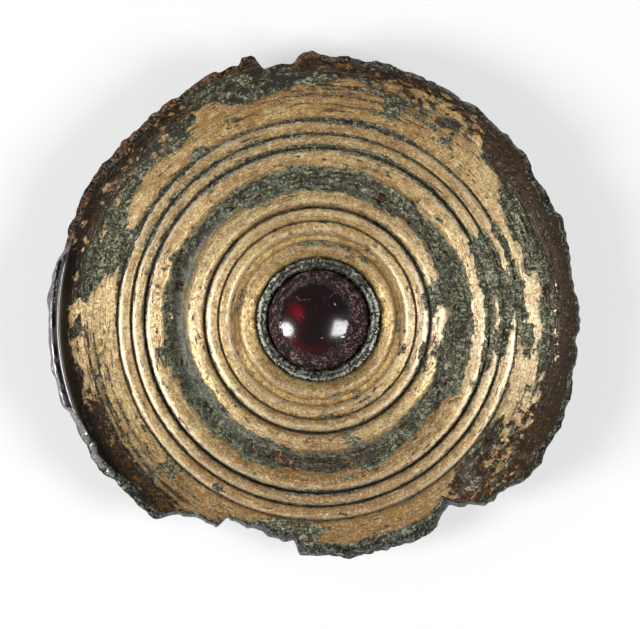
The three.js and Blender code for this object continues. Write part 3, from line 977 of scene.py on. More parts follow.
def store_wear(made, settings):
    """Works out what is left on each point of the saucer and where light and shade are painted on
    it, and stores it for the material.

    The face is what lies over the middle of the casting's thickness and inside the break. What
    is neither face nor break is under. The rings' own radius and angle place the wear on them,
    and the outline's place the wear on the rim.
    """
    x, y, z = points_of(made).T
    radius, degrees = ring_place(x, y)
    rag = settings.rag / MM
    flat_radius, flat_degrees = polar(x, y)
    lower = under_height(flat_radius)
    on_top = smooth_step(z - (face_height(flat_radius) + lower) / 2, -0.25, 0.05)
    face_end = worn_face_radius(flat_degrees, rag)
    broken = smooth_step(flat_radius - face_end, -0.06, 0.08) * (z > -0.3)
    broken = broken * (1.0 - 0.95 * event_reach(LIP_EVENT, flat_degrees))
    face = on_top * (1.0 - broken)
    under = (1.0 - on_top) * (1.0 - broken)
    depth = gilding_depth(radius, degrees, rag)

    brown = smooth_step(radius - around(BROWN_FROM, degrees), -0.8, 0.8)
    brown = np.maximum(brown, around(BROWN_CHANNEL, degrees) * band(radius, CHANNEL_BROWN))
    patch = depth_in_patch(radius, degrees, BROWN_PATCH)
    brown = np.maximum(brown, 0.6 * smooth_step(patch, -0.3, 0.5))
    brown = brown + around(MOTTLED, degrees) * lattice_noise(x, y, 0, 0.7, 61) * 0.8
    mellow = np.clip(0.55 + 1.1 * layered_noise(x, y, z, 5.0, 62), 0, 1)

    core = np.zeros(len(x))
    for _, at, half_width in GROOVES:
        half = np.clip(around(half_width, degrees), 0.0, GROOVE_FULL) / GROOVE_FULL
        core = np.maximum(core, half * band(radius, (at, GROOVE_CORE)))

    # The border darker towards the top and lower left; painted shade in the hollow and on the
    # moulding
    dirt = around(DIRTY_BORDER, degrees) * smooth_step(radius, *SOILED_FROM)
    dirt = dirt + around(DIRTY_HOLLOW, degrees) * band(radius, HOLLOW)
    dirt = dirt + around(DIRTY_MOULDING, degrees) * band(radius, MOULDING)
    sides = np.maximum(band(radius, CHANNEL_SIDES), band(radius, HOLLOW_SIDE))
    beside = sum(face_height(radius + away) for away in (-0.5, -0.25, 0.25, 0.5)) / 4
    lip = event_reach(LIP_RUN, flat_degrees) * smooth_step(flat_radius, *LIP_FROM) * on_top
    # Painted highlight along the rings' outer shoulders
    rubbed = sum(band(radius, (at, SHOULDER_HALF)) for at in SHOULDERS)
    set_fields(
        made,
        gilding=np.where(face > 0.5, depth, -1.0),
        under=under,
        brown=np.clip(brown, 0, 1) * face + mellow * under,
        # The dark in the grooves: partly corrosion and partly painted shade
        groove=core * face * (1.0 - 0.8 * around(FILLED_UP, degrees)),
        channel=band(radius, CHANNEL_FLOOR) * face,
        broken=broken * (z > lower + 0.03),
        copper=around(COPPER_EDGE, flat_degrees) * broken,
        warmth=around(WARMTH, degrees) * (0.45 + 0.55 * smooth_step(radius, *WARM_FROM)),
        # Painted light: the gilding paler on the sides towards the lamps
        pallor=around(PALLOR, degrees) * smooth_step(radius, *PALE_FROM),
        # The border darker, and painted shade in the hollow and on the innermost moulding
        dirt=dirt,
        verdigris=around(VERDIGRIS, degrees) * sides,
        cavity=np.clip((beside - face_height(radius)) / 0.2, -1.0, 1.0),
        lip=lip,
        shine=lip * smooth_step(flat_radius, *BEADS_FROM),
        # Polish of the channel's foot, which also gets a painted sheen
        sheen=channel_sheen(radius, degrees) * face,
        # Painted shade in the channel beside its painted sheen
        band=around(SHINING, degrees) * band(radius, CHANNEL_SHADOW) * face,
        # Painted highlight on the shoulders and painted shade on the inner flanks
        shoulder=around(RUBBED, degrees) * rubbed,
        flank=sum(band(radius, (at, FLANK_HALF)) for at in FLANKS),
        gloom=around(DARK_RIM, degrees) * smooth_step(radius, *GLOOM_FROM),
        scored=around(SCORED, degrees) * (0.25 + 0.75 * smooth_step(radius, *SCORED_FROM)) * face,
    )


class Number:
    """A socket that carries one number. Arithmetic on it adds Math nodes."""

    def __init__(self, nodes, socket):
        self.nodes = nodes
        self.socket = socket

    def maths(self, operation, *values):
        made = self.nodes.node("ShaderNodeMath", dict(enumerate(values)), operation=operation)
        return Number(self.nodes, made.outputs[0])

    def __add__(self, other):
        return self.maths("ADD", self, other)

    def __sub__(self, other):
        return self.maths("SUBTRACT", self, other)

    def __rsub__(self, other):
        return self.maths("SUBTRACT", other, self)

    def __mul__(self, other):
        return self.maths("MULTIPLY", self, other)

    def __truediv__(self, other):
        return self.maths("DIVIDE", self, other)

    def __pow__(self, other):
        return self.maths("POWER", self, other)

    __radd__ = __add__
    __rmul__ = __mul__

    def step(self, low, high):
        """0 below low and 1 above high, by the S-curve between them."""
        ends = {"Value": self, "From Min": low, "From Max": high}
        made = self.nodes.node("ShaderNodeMapRange", ends, interpolation_type="SMOOTHSTEP")
        return Number(self.nodes, made.outputs["Result"])

    def held(self):
        """Kept within 0 and 1."""
        return self.maths("MINIMUM", self.maths("MAXIMUM", self, 0.0), 1.0)


class Nodes:
    """A node tree in the making."""

    def __init__(self, tree):
        self.tree = tree

    def node(self, kind, sockets, **settings):
        """Adds a node with its settings, values and links."""
        made = self.tree.nodes.new(kind)
        for name, value in settings.items():
            setattr(made, name, value)
        for name, value in sockets.items():
            self.connect(made.inputs[name], value)
        return made

    def axes(self, vector):
        """A vector's three parts."""
        parts = self.node("ShaderNodeSeparateXYZ", {0: vector})
        return [Number(self, part) for part in parts.outputs]

    def connect(self, socket, value):
        """Links a socket, or sets its value."""
        if isinstance(value, Number):
            value = value.socket
        if isinstance(value, bpy.types.NodeSocket):
            self.tree.links.new(value, socket)
        else:
            socket.default_value = value


class Finish(Nodes):
    """A material in the making: its nodes and the shader that it ends in."""

    def __init__(self, name, colours=None):
        self.material = bpy.data.materials.new(name)
        self.material.use_nodes = True
        self.colours = colours
        super().__init__(self.material.node_tree)
        self.shader = self.tree.nodes["Principled BSDF"]

    def set(self, name, value):
        """Sets or links one of the shader's own sockets."""
        self.connect(self.shader.inputs[name], value)

    def field(self, name):
        """A number that the mesh stores for each point."""
        made = self.node("ShaderNodeAttribute", {}, attribute_name=name)
        return Number(self, made.outputs["Fac"])

    def place(self):
        """The point's place on the piece, in millimetres."""
        made = self.node("ShaderNodeTexCoord", {})
        sockets = {0: made.outputs["Object"], "Scale": 1.0 / MM}
        return self.node("ShaderNodeVectorMath", sockets, operation="SCALE").outputs[0]

    def noise(self, place, scale, detail=2.0, roughness=0.5):
        """Noise from 0 to 1 with so many swells to a millimetre."""
        sockets = {"Vector": place, "Scale": scale, "Detail": detail, "Roughness": roughness}
        return Number(self, self.node("ShaderNodeTexNoise", sockets).outputs["Fac"])

    def facets(self, place, scale):
        """A random number from 0 to 1 for each of many small uneven cells."""
        bend = self.node("ShaderNodeTexNoise", {"Vector": place, "Scale": scale * 0.8})
        sockets = {0: bend.outputs["Color"], 1: (1.4 / scale,) * 3, 2: place}
        moved = self.node("ShaderNodeVectorMath", sockets, operation="MULTIPLY_ADD").outputs[0]
        made = self.node("ShaderNodeTexVoronoi", {"Vector": moved, "Scale": scale})
        parts = self.node("ShaderNodeSeparateColor", {0: made.outputs["Color"]})
        return Number(self, parts.outputs[0])

    def streaks(self, place, along, across):
        """Noise drawn out round the axis, as turning leaves it.

        It is read at (along times cosine, along times sine, across times radius), which is
        seamless round the turn, changes slowly along it and fast across it.
        """
        x, y, _ = self.axes(place)
        radius = (x * x + y * y) ** 0.5 + 1e-4
        sockets = {0: x / radius * along, 1: y / radius * along, 2: radius * across}
        turned = self.node("ShaderNodeCombineXYZ", sockets)
        return self.noise(turned.outputs[0], 1.0, 3.0, 0.6)

    def mix(self, share, first, second):
        """A colour between two, by a share from 0 to 1. A name stands for a set colour."""
        first, second = (
            solid(getattr(self.colours, end)) if isinstance(end, str) else end
            for end in (first, second)
        )
        sockets = {0: share, 6: first, 7: second}
        return self.node("ShaderNodeMix", sockets, data_type="RGBA").outputs[2]

    def bump(self, height):
        """A normal from a height in millimetres."""
        sockets = {"Height": height, "Distance": MM, "Strength": 1.0}
        return self.node("ShaderNodeBump", sockets).outputs["Normal"]


def solid(colour):
    """A colour property as four numbers."""
    return (*colour[:3], 1.0)


def saucer_finish(colours):
    """Worn gilding over smooth brown and grainy green ground, a crumbling broken edge, and painted
    light and shade.
    """
    f = Finish("worn_gilding", colours)
    place = f.place()
    wide = f.noise(place, 0.3, 2.0)
    broad = f.noise(place, 1.2, 3.0, 0.6)
    fine = f.noise(place, 3.6, 3.0, 0.65)
    flakes = f.noise(place, 6.0, 2.0, 0.6)
    grit = f.noise(place, 10.0, 2.0, 0.7)
    turning = f.streaks(place, 6.0, 3.6)
    hairs = f.streaks(place, 15.0, 9.0)
    facet, crystal = f.facets(place, 4.6), f.facets(place, 9.0)
    gilding, brown, groove = f.field("gilding"), f.field("brown"), f.field("groove")
    broken, warmth, lip = f.field("broken"), f.field("warmth"), f.field("lip")
    under, sheen = f.field("under"), f.field("sheen")
    turned = (turning - 0.5) * (1.0 - under * 0.9)

    # Where the gilding is: inside its edge, and not worn through by turning
    edge = gilding + (turning - 0.5) * 0.7 + (fine - 0.5) * 0.5 + (grit - 0.5) * 0.3
    scores = (turning * 0.5 + hairs * 0.3 + fine * 0.2) + f.field("scored") * 0.045
    worn_through = scores.step(0.59, 0.62)
    gilded = edge.step(-0.02, 0.04) * (1.0 - worn_through * 0.85)
    thin = 1.0 - edge.step(0.0, 0.3)

    # The gilding: tan or warm; rubbed pale, paler on crests, with painted side light and glints;
    # soiled, darker in hollows and at the border, with painted shade; stained; painted shoulder
    # highlights
    cavity, dirt = f.field("cavity"), f.field("dirt")
    warm = (warmth + (broad - 0.5) * 1.8 + (wide - 0.5) * 1.8).held()
    tan = f.mix(warm, "gilding", "gilding_warm")
    tone = fine * 0.3 + flakes * 0.25 + hairs * 0.25 + turning * 0.2
    # Paler where rubbed and on crests, with painted light on the sides and painted glints from the
    # brightest crystals
    rubbed = tone.step(0.51, 0.59) * 0.6 + (cavity * -1.0).step(0.1, 1.0) * 0.2
    rubbed = rubbed + crystal.step(0.9, 0.94) * 0.45 + f.field("pallor") * 0.45
    tan = f.mix(rubbed.held(), tan, "gilding_pale")
    stains = (broad * 0.5 + fine * 0.5).step(0.53, 0.61) * 0.4
    soiled = tone.step(0.5, 0.42) * 0.75 + thin * 0.25 + stains + cavity.step(0.1, 0.9) * 0.35
    # The border darker, and painted shade in the hollow and on the innermost moulding
    soiled = soiled + dirt * (0.3 + hairs * 0.8) + crystal.step(0.1, 0.06) * 0.4
    # Painted shade on the rings' inner flanks
    soiled = soiled + f.field("flank") * (turning * 0.7 + broad * 0.6 - 0.25)
    tan = f.mix(soiled.held() * 0.85, tan, "soil")
    ruddy = (f.noise(place, 2.2, 3.0, 0.7) * 0.6 + turning * 0.4).step(0.52, 0.6)
    tan = f.mix(ruddy * 0.5, tan, "ruddy")
    # Painted highlight: the rings' outer shoulders painted pale
    shoulder = f.field("shoulder") * (0.4 + turning * 0.9)
    tan = f.mix(shoulder.held() * 0.8, tan, "gilding_pale")

    # The green ground: painted shade in its low places, pale grains with painted glints, and
    # verdigris by the gilding
    # Painted shade: the ground darker where its bump is low
    shadow = (fine * 0.4 + broad * 0.35 + flakes * 0.25).step(0.53, 0.44)
    green = f.mix(shadow, "corrosion", "corrosion_dark")
    dull = (facet.step(0.4, 0.2) * 0.5 + crystal.step(0.35, 0.15) * 0.4).held()
    green = f.mix(dull, green, "corrosion_dark")
    # Painted glints: pale specks, partly the ground's own pale grains, fewer underneath
    sparkle = facet.step(0.74, 0.8) * 0.45 + crystal.step(0.72, 0.8) * 0.55
    sparkle = sparkle * (1.0 - under * 0.75) * (0.4 + broad.step(0.38, 0.55) * 0.6)
    green = f.mix(sparkle.held(), green, "corrosion_light")
    green = f.mix(f.field("channel") * broad.step(0.6, 0.35) * 0.6, green, "corrosion_dark")
    green = f.mix(f.field("gloom") * broad.step(0.62, 0.42), green, "corrosion_dark")
    beside = gilding.step(-0.6, -0.1) * f.field("verdigris") * broad.step(0.42, 0.56)
    crusted = (flakes * 0.5 + fine * 0.5).step(0.46, 0.53)
    green = f.mix((beside * (0.25 + crusted * 0.6)).held(), green, "verdigris")
    vivid = f.noise(place, 0.9, 1.0).step(0.56, 0.68) * fine.step(0.46, 0.56)
    green = f.mix(vivid * 0.6, green, "verdigris_deep")
    # Painted shade beside the channel's sheen
    green = f.mix(f.field("band") * (0.5 + broad), green, "corrosion_dark")
    # Painted sheen: a pale reflection of the left lamp on the channel's polished foot
    green = f.mix((sheen * (0.3 + fine * 1.4)).held(), green, "sheen")

    # The brown ground with painted glints, how it lies among the green, grey streaks that are
    # partly a painted sheen where they meet, and the grooves' dark over both, partly painted shade
    rust = (broad * 0.5 + turned * 0.5 + 0.25).step(0.48, 0.6)
    smooth_brown = f.mix(rust * 0.6, "patina", "patina_red")
    stained = (fine * 0.6 + broad * 0.4).step(0.5, 0.58) * warmth.step(0.25, 0.6)
    stained = stained * (0.35 - under * 0.25)
    smooth_brown = f.mix(stained, smooth_brown, "ruddy")
    # Painted glints: sparse pale specks on the brown ground
    glints = crystal.step(0.96, 0.99) * grit.step(0.5, 0.6) * 0.5
    smooth_brown = f.mix(glints, smooth_brown, "corrosion_light")
    wander = (fine - 0.5) * 1.0 + (broad - 0.5) * 1.2 + turned * 1.6
    brownness = (brown + wander * 2.0).step(0.3, 0.7)
    bare = f.mix(brownness, green, smooth_brown)
    # Grey streaks where brown meets green, partly a painted sheen
    worn_grey = brown.step(0.15, 0.5) * brown.step(1.0, 0.75) * hairs.step(0.5, 0.6) * (1.0 - under)
    bare = f.mix(worn_grey * 0.45, bare, "worn_grey")
    near = 0.15 + gilding.step(-0.5, -0.15) * 0.85
    # The grooves' dark, partly painted shade, strongest where gilding lies beside them
    filled = groove * near * (1.5 - crystal.step(0.7, 0.8) * 0.6 - broad.step(0.5, 0.62) * 0.5)
    bare = f.mix(filled.held(), bare, "groove")
    bare = f.mix(lip * 0.9, bare, "lip")

    # The broken face: dark and green crumbs, darker in low places as painted shade, painted glints,
    # and oxide where it is coppery
    crumbled = f.mix((fine * 0.5 + broad * 0.5).step(0.47, 0.56), "crumb_dark", "crumb_green")
    # Painted glints on the broken face
    glint = facet.step(0.76, 0.82) * 0.5 + crystal.step(0.78, 0.84) * 0.5
    crumbled = f.mix(glint.held() * 0.7, crumbled, "crumb")
    oxide = broad * 0.3 + fine * 0.4 + flakes * 0.3
    copper = f.field("copper")
    coppery = (copper * 0.03 + oxide).step(0.53, 0.57) * copper.step(0, 0.3)
    crumbled = f.mix(coppery, crumbled, "copper")
    # Painted shade: the broken face darker where its bump is low
    crumbled = f.mix(flakes.step(0.5, 0.42) * 0.6, crumbled, "crumb_dark")
    bare = f.mix(broken, bare, crumbled)

    # The shader. Only the beads of the lip are coated
    shine = f.field("shine")
    f.set("Base Color", f.mix(gilded, bare, tan))
    ground_metal = brownness * (1.0 - broken) * 0.95 + broken * 0.6 + sheen * (1.0 - brownness)
    f.set("Metallic", gilded * 0.65 + ground_metal * (1.0 - gilded))
    bare_rough = 0.5 - f.field("channel") * 0.12 - brownness * 0.1 - broken * 0.1
    f.set("Roughness", bare_rough * (1.0 - gilded) + gilded * (0.24 + grit * 0.2 + soiled * 0.15))
    f.set("Specular IOR Level", 0.3)
    f.set("Coat Weight", shine * (1.0 - gilded))
    f.set("Coat IOR", 2.0)
    f.set("Coat Roughness", 0.27)
    coarse = fine * 0.24 + flakes * 0.16 + facet * 0.05 + crystal * 0.03
    grain = coarse * (1.0 - brownness * 0.75) * (1.0 - (sheen + shine) * 0.8) * (1.0 + broken)
    tooling = turning * 0.03 + hairs * 0.04 + fine * 0.035 + crystal * 0.01
    f.set("Normal", f.bump(gilded * 0.08 + grain * (1.0 - gilded) + tooling * gilded))
    return f.material


# The collar: how far under its top its crown begins and is in full, how much of a bead's wave
# stays below the surface, how high the beads stand and how high the crown may go
COLLAR_CROWN = (1.1, 0.3)
BEAD_SUNK = 0.6
BEAD_HEIGHT = 0.17
CROWN_LIMIT = 0.12


def collar_mesh(settings):
    """The collar: a closed band whose section runs round it, roughened on its crown.

    The section is the solid's, with its corners eased. Beads of one wave each stand round the
    crown. They and lattice noise move each point of the crown away from the section's middle.
    """
    corners = [
        (COLLAR_INNER, SEAT_FLOOR), (COLLAR_OUTER, SEAT_FLOOR),
        (COLLAR_OUTER, COLLAR_TOP - 0.45), (COLLAR_OUTER - 0.2, COLLAR_TOP - 0.08),
        (COLLAR_INNER + 0.4, COLLAR_TOP), (COLLAR_INNER, COLLAR_TOP - 0.5),
    ]
    section = even_steps(rounded_section(corners, 0.1, 4), settings.section)
    steps = settings.steps
    angle = np.arange(steps) * 2 * math.pi / steps
    out, up = (v[:, None] * np.ones(steps) for v in section.T)
    middle_out, middle_up = (COLLAR_INNER + COLLAR_OUTER) / 2, (SEAT_FLOOR + COLLAR_TOP) / 2
    away_out, away_up = out - middle_out, (up - middle_up) * 0.5
    size = np.hypot(away_out, away_up)
    x, y = out * np.cos(angle), out * np.sin(angle)
    crown = smooth_step(up, COLLAR_TOP - COLLAR_CROWN[0], COLLAR_TOP - COLLAR_CROWN[1])
    rough = 0.55 * layered_noise(x, y, up, 0.55, 71, 3) + 0.45 * lattice_noise(x, y, up, 0.22, 72)
    patchy = smooth_step(lattice_noise(x, y, 0, 2.0, 73), -0.2, 0.3)
    beads = (np.abs(np.sin(angle * settings.beads / 2)) - BEAD_SUNK) * (0.3 + 0.7 * patchy)
    move = (settings.grain / MM * (rough * 1.8 - 0.25) + BEAD_HEIGHT * beads) * crown
    out = out + move * away_out / size
    up = up + move * away_up / size + crown * 0.12 * lattice_noise(x, y, 0, 1.1, 74)
    up = np.minimum(up, COLLAR_TOP + CROWN_LIMIT)
    wander = add_noise(0.06, x, y, 0, COLLAR_WANDER)
    out = out + crown * wander * smooth_step(out, middle_out, COLLAR_OUTER)
    points = np.stack([out * np.cos(angle), out * np.sin(angle), up], -1).reshape(-1, 3)
    return mesh_object("corroded_collar", points, grid_faces(len(section), steps, True)[:, ::-1])


def even_steps(outline, count):
    """A closed outline walked in that many even steps."""
    closed = np.concatenate([outline, outline[:1]])
    gone = np.concatenate([[0.0], np.cumsum(np.hypot(*np.diff(closed, axis=0).T))])
    want = np.linspace(0.0, gone[-1], count, endpoint=False)
    return np.stack([np.interp(want, gone, closed[:, i]) for i in range(2)], -1)


# Painted glints: where rows of the collar's beads are painted bright, most on the sides towards
# the lamps: round the turn, and their two bands
BRIGHT_BEADS = [(0, 1.0), (28, 0.9), (40, 0.2), (75, 0.1), (140, 0.5), (160, 0.9), (200, 0.9),
                (220, 0.4), (260, 0.35), (290, 0.3), (310, 0.7), (340, 1.0)]
OUTER_BEADS = (5.2, 0.1)
INNER_BEADS = (4.72, 0.08)


def store_collar(made):
    """Stores where the beads get painted glints: in two thin rings near the collar's edges."""
    x, y, z = points_of(made).T
    radius, degrees = polar(x, y)
    rings = band(radius, OUTER_BEADS) + 0.6 * band(radius, INNER_BEADS)
    # Painted glints on the beads, most on the sides towards the lamps
    set_fields(made, bead=around(BRIGHT_BEADS, degrees) * rings * (z > COLLAR_TOP - 0.7))


def collar_finish(colours):
    """Grainy dark green corrosion with pale grains, painted glints on its beads and verdigris in
    its low places.
    """
    f = Finish("collar_corrosion", colours)
    place = f.place()
    broad, fine = f.noise(place, 1.2, 2.0), f.noise(place, 3.0, 3.0, 0.6)
    crystal = f.facets(place, 6.0)
    colour = f.mix((fine * 0.6 + broad * 0.4).step(0.46, 0.56), "collar_dark", "collar_green")
    wide = f.noise(place, 0.55, 1.0)
    colour = f.mix(wide.step(0.55, 0.45) * 0.85, colour, "collar_dark")
    grains = crystal.step(0.88, 0.93) * fine.step(0.45, 0.55) * 0.5
    colour = f.mix(grains, colour, "corrosion_light")
    crust = broad.step(0.56, 0.64) * fine.step(0.45, 0.52) * 0.75
    colour = f.mix(crust, colour, "verdigris")
    # Painted glints on the collar's beads
    bright = f.field("bead") * f.facets(place, 4.0).step(0.35, 0.45) * 2.2
    colour = f.mix(bright.held() * 0.85, colour, "bead")
    f.set("Base Color", colour)
    f.set("Roughness", 0.1 + fine * 0.2)
    f.set("Normal", f.bump(fine * 0.5 + crystal * 0.06))
    return f.material


# The garnet's crown also leans a little towards -Y
FORWARD_LEAN = 0.42
# How far its lower edge is eased, and the rows on its flat back
STONE_EASE = 0.06
STONE_BACK = (1.6, 3.2, STONE_RADIUS - STONE_EASE)


def stone_mesh(settings):
    """The garnet: flat below, straight to its edge, and a dome that leans towards -X.

    The dome is a quarter ellipse turned round the axis and sheared sideways by its height over
    the edge. Its abraded margin is pitted by lattice noise, and its crown is left smooth.
    """
    steps, rows = settings.steps, settings.rows
    angle = np.arange(steps) * 2 * math.pi / steps
    climb = np.linspace(0.0, 1.0, rows, endpoint=False) * math.pi / 2
    below = [(r, SEAT_FLOOR) for r in STONE_BACK] + [(STONE_RADIUS, SEAT_FLOOR + STONE_EASE)]
    below_out, below_up = np.array(below).T
    out = np.concatenate([below_out, STONE_RADIUS * np.cos(climb)])
    up = np.concatenate([below_up, GIRDLE + STONE_RISE * np.sin(climb)])
    share = np.clip((up - GIRDLE) / STONE_RISE, 0.0, 1.0)
    out, up, share = (v[:, None] * np.ones(steps) for v in (out, up, share))
    x = out * np.cos(angle) - STONE_LEAN * share
    y = out * np.sin(angle) - FORWARD_LEAN * share
    worn = 1.0 - polish_of(x, y)
    dome = smooth_step(share, 0.01, 0.12)
    pits = add_noise(0.0, x, y, up, STONE_PITS)
    drop = settings.pitting / MM * (pits - 0.25) * worn * dome
    points = np.stack([x, y, up + drop], -1).reshape(-1, 3)
    crown = [-STONE_LEAN, -FORWARD_LEAN, GIRDLE + STONE_RISE]
    poles = np.array([[0.0, 0.0, SEAT_FLOOR], crown])
    quads, fans = closed_turning(len(out), steps)
    return mesh_object("garnet", np.concatenate([points, poles]), quads[:, ::-1], fans[:, ::-1])


# The polished crown stands off the stone's middle and is a little smaller than the stone. Its
# polish fades from inside its radius to outside it
CROWN_PLACE = (-0.38, 0.08)
CROWN_RADIUS = 3.4
CROWN_INSIDE = 0.75
CROWN_OUTSIDE = 0.35


def polish_of(x, y):
    """1 on the polished crown and 0 on the abraded margin, over an uneven circle."""
    away = np.hypot(x - CROWN_PLACE[0], y - CROWN_PLACE[1])
    away = add_noise(away, x, y, 0, CROWN_EDGE)
    return 1.0 - smooth_step(away, CROWN_RADIUS - CROWN_INSIDE, CROWN_RADIUS + CROWN_OUTSIDE)


# Painted light: where a red glow of light through the garnet is painted: x, y, half length, half
# width, turn and strength
GLOWS = [
    ("left of the middle", -1.75, 0.6, 0.55, 0.4, 115, 0.42),
    ("round it", -2.1, 0.6, 1.4, 0.8, 105, 0.11),
    ("lower left inside the edge", -2.2, -1.9, 1.3, 0.45, 315, 0.14),
    ("bottom inside the edge", -0.3, -2.6, 1.6, 0.4, 3, 0.09),
    ("right edge", 3.1, 0.7, 0.55, 0.22, 75, 0.3),
]
# The crystals and flaws in it, and a painted glint beside the left lamp's highlight, of the same
# form
AMBER_SPECK = ("orange crystal", 0.3, -1.6, 0.17, 0.1, 20, 1.0)
PALE_SPECKS = [
    ("pale crystal", 1.42, 1.3, 0.14, 0.06, 125, 1.0),
    ("spark by the left light", -2.05, -1.45, 0.07, 0.06, 0, 0.8),
    ("flaw, left", -1.15, 1.72, 0.8, 0.06, 3, 0.45),
    ("flaw, bend", -1.85, 1.92, 0.3, 0.06, 315, 0.45),
    ("flaw, right", 1.15, 2.1, 0.5, 0.06, 40, 0.42),
]


def soft_spot(x, y, spot):
    """A bell over an ellipse that lies at that turn: e to the minus squared distance."""
    _, cx, cy, long, short, turn, strength = spot
    a = math.radians(turn)
    along = (x - cx) * math.cos(a) + (y - cy) * math.sin(a)
    across = (y - cy) * math.cos(a) - (x - cx) * math.sin(a)
    return strength * np.exp(-((along / long) ** 2) - (across / short) ** 2)


def store_stone(made):
    """Stores the stone's polish, a painted glow of light through it, and the crystals in it."""
    x, y, z = points_of(made).T
    top = (z > GIRDLE - 0.05).astype(float)
    set_fields(
        made,
        polish=polish_of(x, y) * top,
        # Painted glow of light through the garnet
        glow=sum(soft_spot(x, y, s) for s in GLOWS) * top,
        amber=soft_spot(x, y, AMBER_SPECK) * top,
        pale=sum(soft_spot(x, y, s) for s in PALE_SPECKS) * top,
    )


def stone_finish(colours):
    """A deep red stone, polished on its crown and abraded to a purple-brown grain round it."""
    f = Finish("garnet_stone", colours)
    place = f.place()
    broad, fine = f.noise(place, 1.3, 2.0), f.noise(place, 4.0, 3.0, 0.6)
    flakes, crystal = f.noise(place, 7.0, 2.0, 0.6), f.facets(place, 8.5)
    uneven = (flakes - 0.5) * 1.6 + (crystal - 0.5) * 0.35 + (broad - 0.5) * 0.7
    polish = (f.field("polish") + uneven).step(0.25, 0.6)
    # Painted light: a red glow of light through the stone
    glow = (f.field("glow") * (0.7 + fine * 0.5)).held()
    clear = f.mix(glow, "garnet_deep", "garnet_lit")
    clear = f.mix(f.field("amber").step(0.4, 0.6) * 0.8, clear, "amber")
    clear = f.mix(f.field("pale").step(0.2, 0.9) * 0.9, clear, "pale_crystal")
    rough = f.mix((fine * 0.5 + broad * 0.5).step(0.44, 0.56), "margin_dark", "margin")
    grains = (crystal.step(0.76, 0.82) * broad.step(0.35, 0.55)).held() * 0.85
    rough = f.mix(grains, rough, "margin_light")
    f.set("Base Color", f.mix(polish, rough, clear))
    f.set("Metallic", (1.0 - polish) * 0.85)
    f.set("Roughness", 0.55 - polish * 0.4)
    f.set("IOR", 1.76)
    f.set("Specular IOR Level", 0.4)
    f.set("Transmission Weight", colours.see_through)
    f.set("Normal", f.bump((flakes * 0.2 + crystal * 0.05) * (1.0 - polish)))
    return f.material


def length(name, description, default):
    """A length property in metres from a default in millimetres."""
    return bpy.props.FloatProperty(
        name=name, description=description, default=default * MM, precision=5, unit="LENGTH"
    )


def amount(name, description, default, **more):
    """A plain number as a property."""
    return bpy.props.FloatProperty(name=name, description=description, default=default, **more)


def number_of(name, description, default):
    """A whole number as a property."""
    return bpy.props.IntProperty(name=name, description=description, default=default)


def colour(name, description, default):
    """A colour property from linear red, green and blue."""
    return bpy.props.FloatVectorProperty(
        name=name, description=description, default=default, subtype="COLOR", min=0, max=1
    )


class BroochSaucerSettings(bpy.types.PropertyGroup):
    """Sizes of the saucer's fine surface."""

    rag: length("Rag", "How far the broken edge wanders finely in and out", 0.15)
    grain: length("Grain", "Height of the grain on corroded ground", 0.09)
    skin: length("Gilding Skin", "How far gilding stands over bare ground", 0.05)
    crumb: length("Crumb", "Height of the crumbs on the broken face", 0.24)
    steps: number_of("Steps", "Points round the turn", 656)
    rim_rows: number_of("Rim Rows", "Rows from the last ring out to the break", 26)


class BroochCollarSettings(bpy.types.PropertyGroup):
    """Sizes of the collar's rough surface."""

    grain: length("Grain", "Height of the collar's corrosion", 0.22)
    beads: number_of("Beads", "Beads round the crown", 104)
    steps: number_of("Steps", "Points round the turn", 480)
    section: number_of("Section", "Points round the band's section", 44)


class BroochStoneSettings(bpy.types.PropertyGroup):
    """Sizes of the garnet's surface."""

    pitting: length("Pitting", "Depth of the pits in the abraded margin", 0.1)
    steps: number_of("Steps", "Points round the turn", 400)
    rows: number_of("Rows", "Rows up the dome", 64)


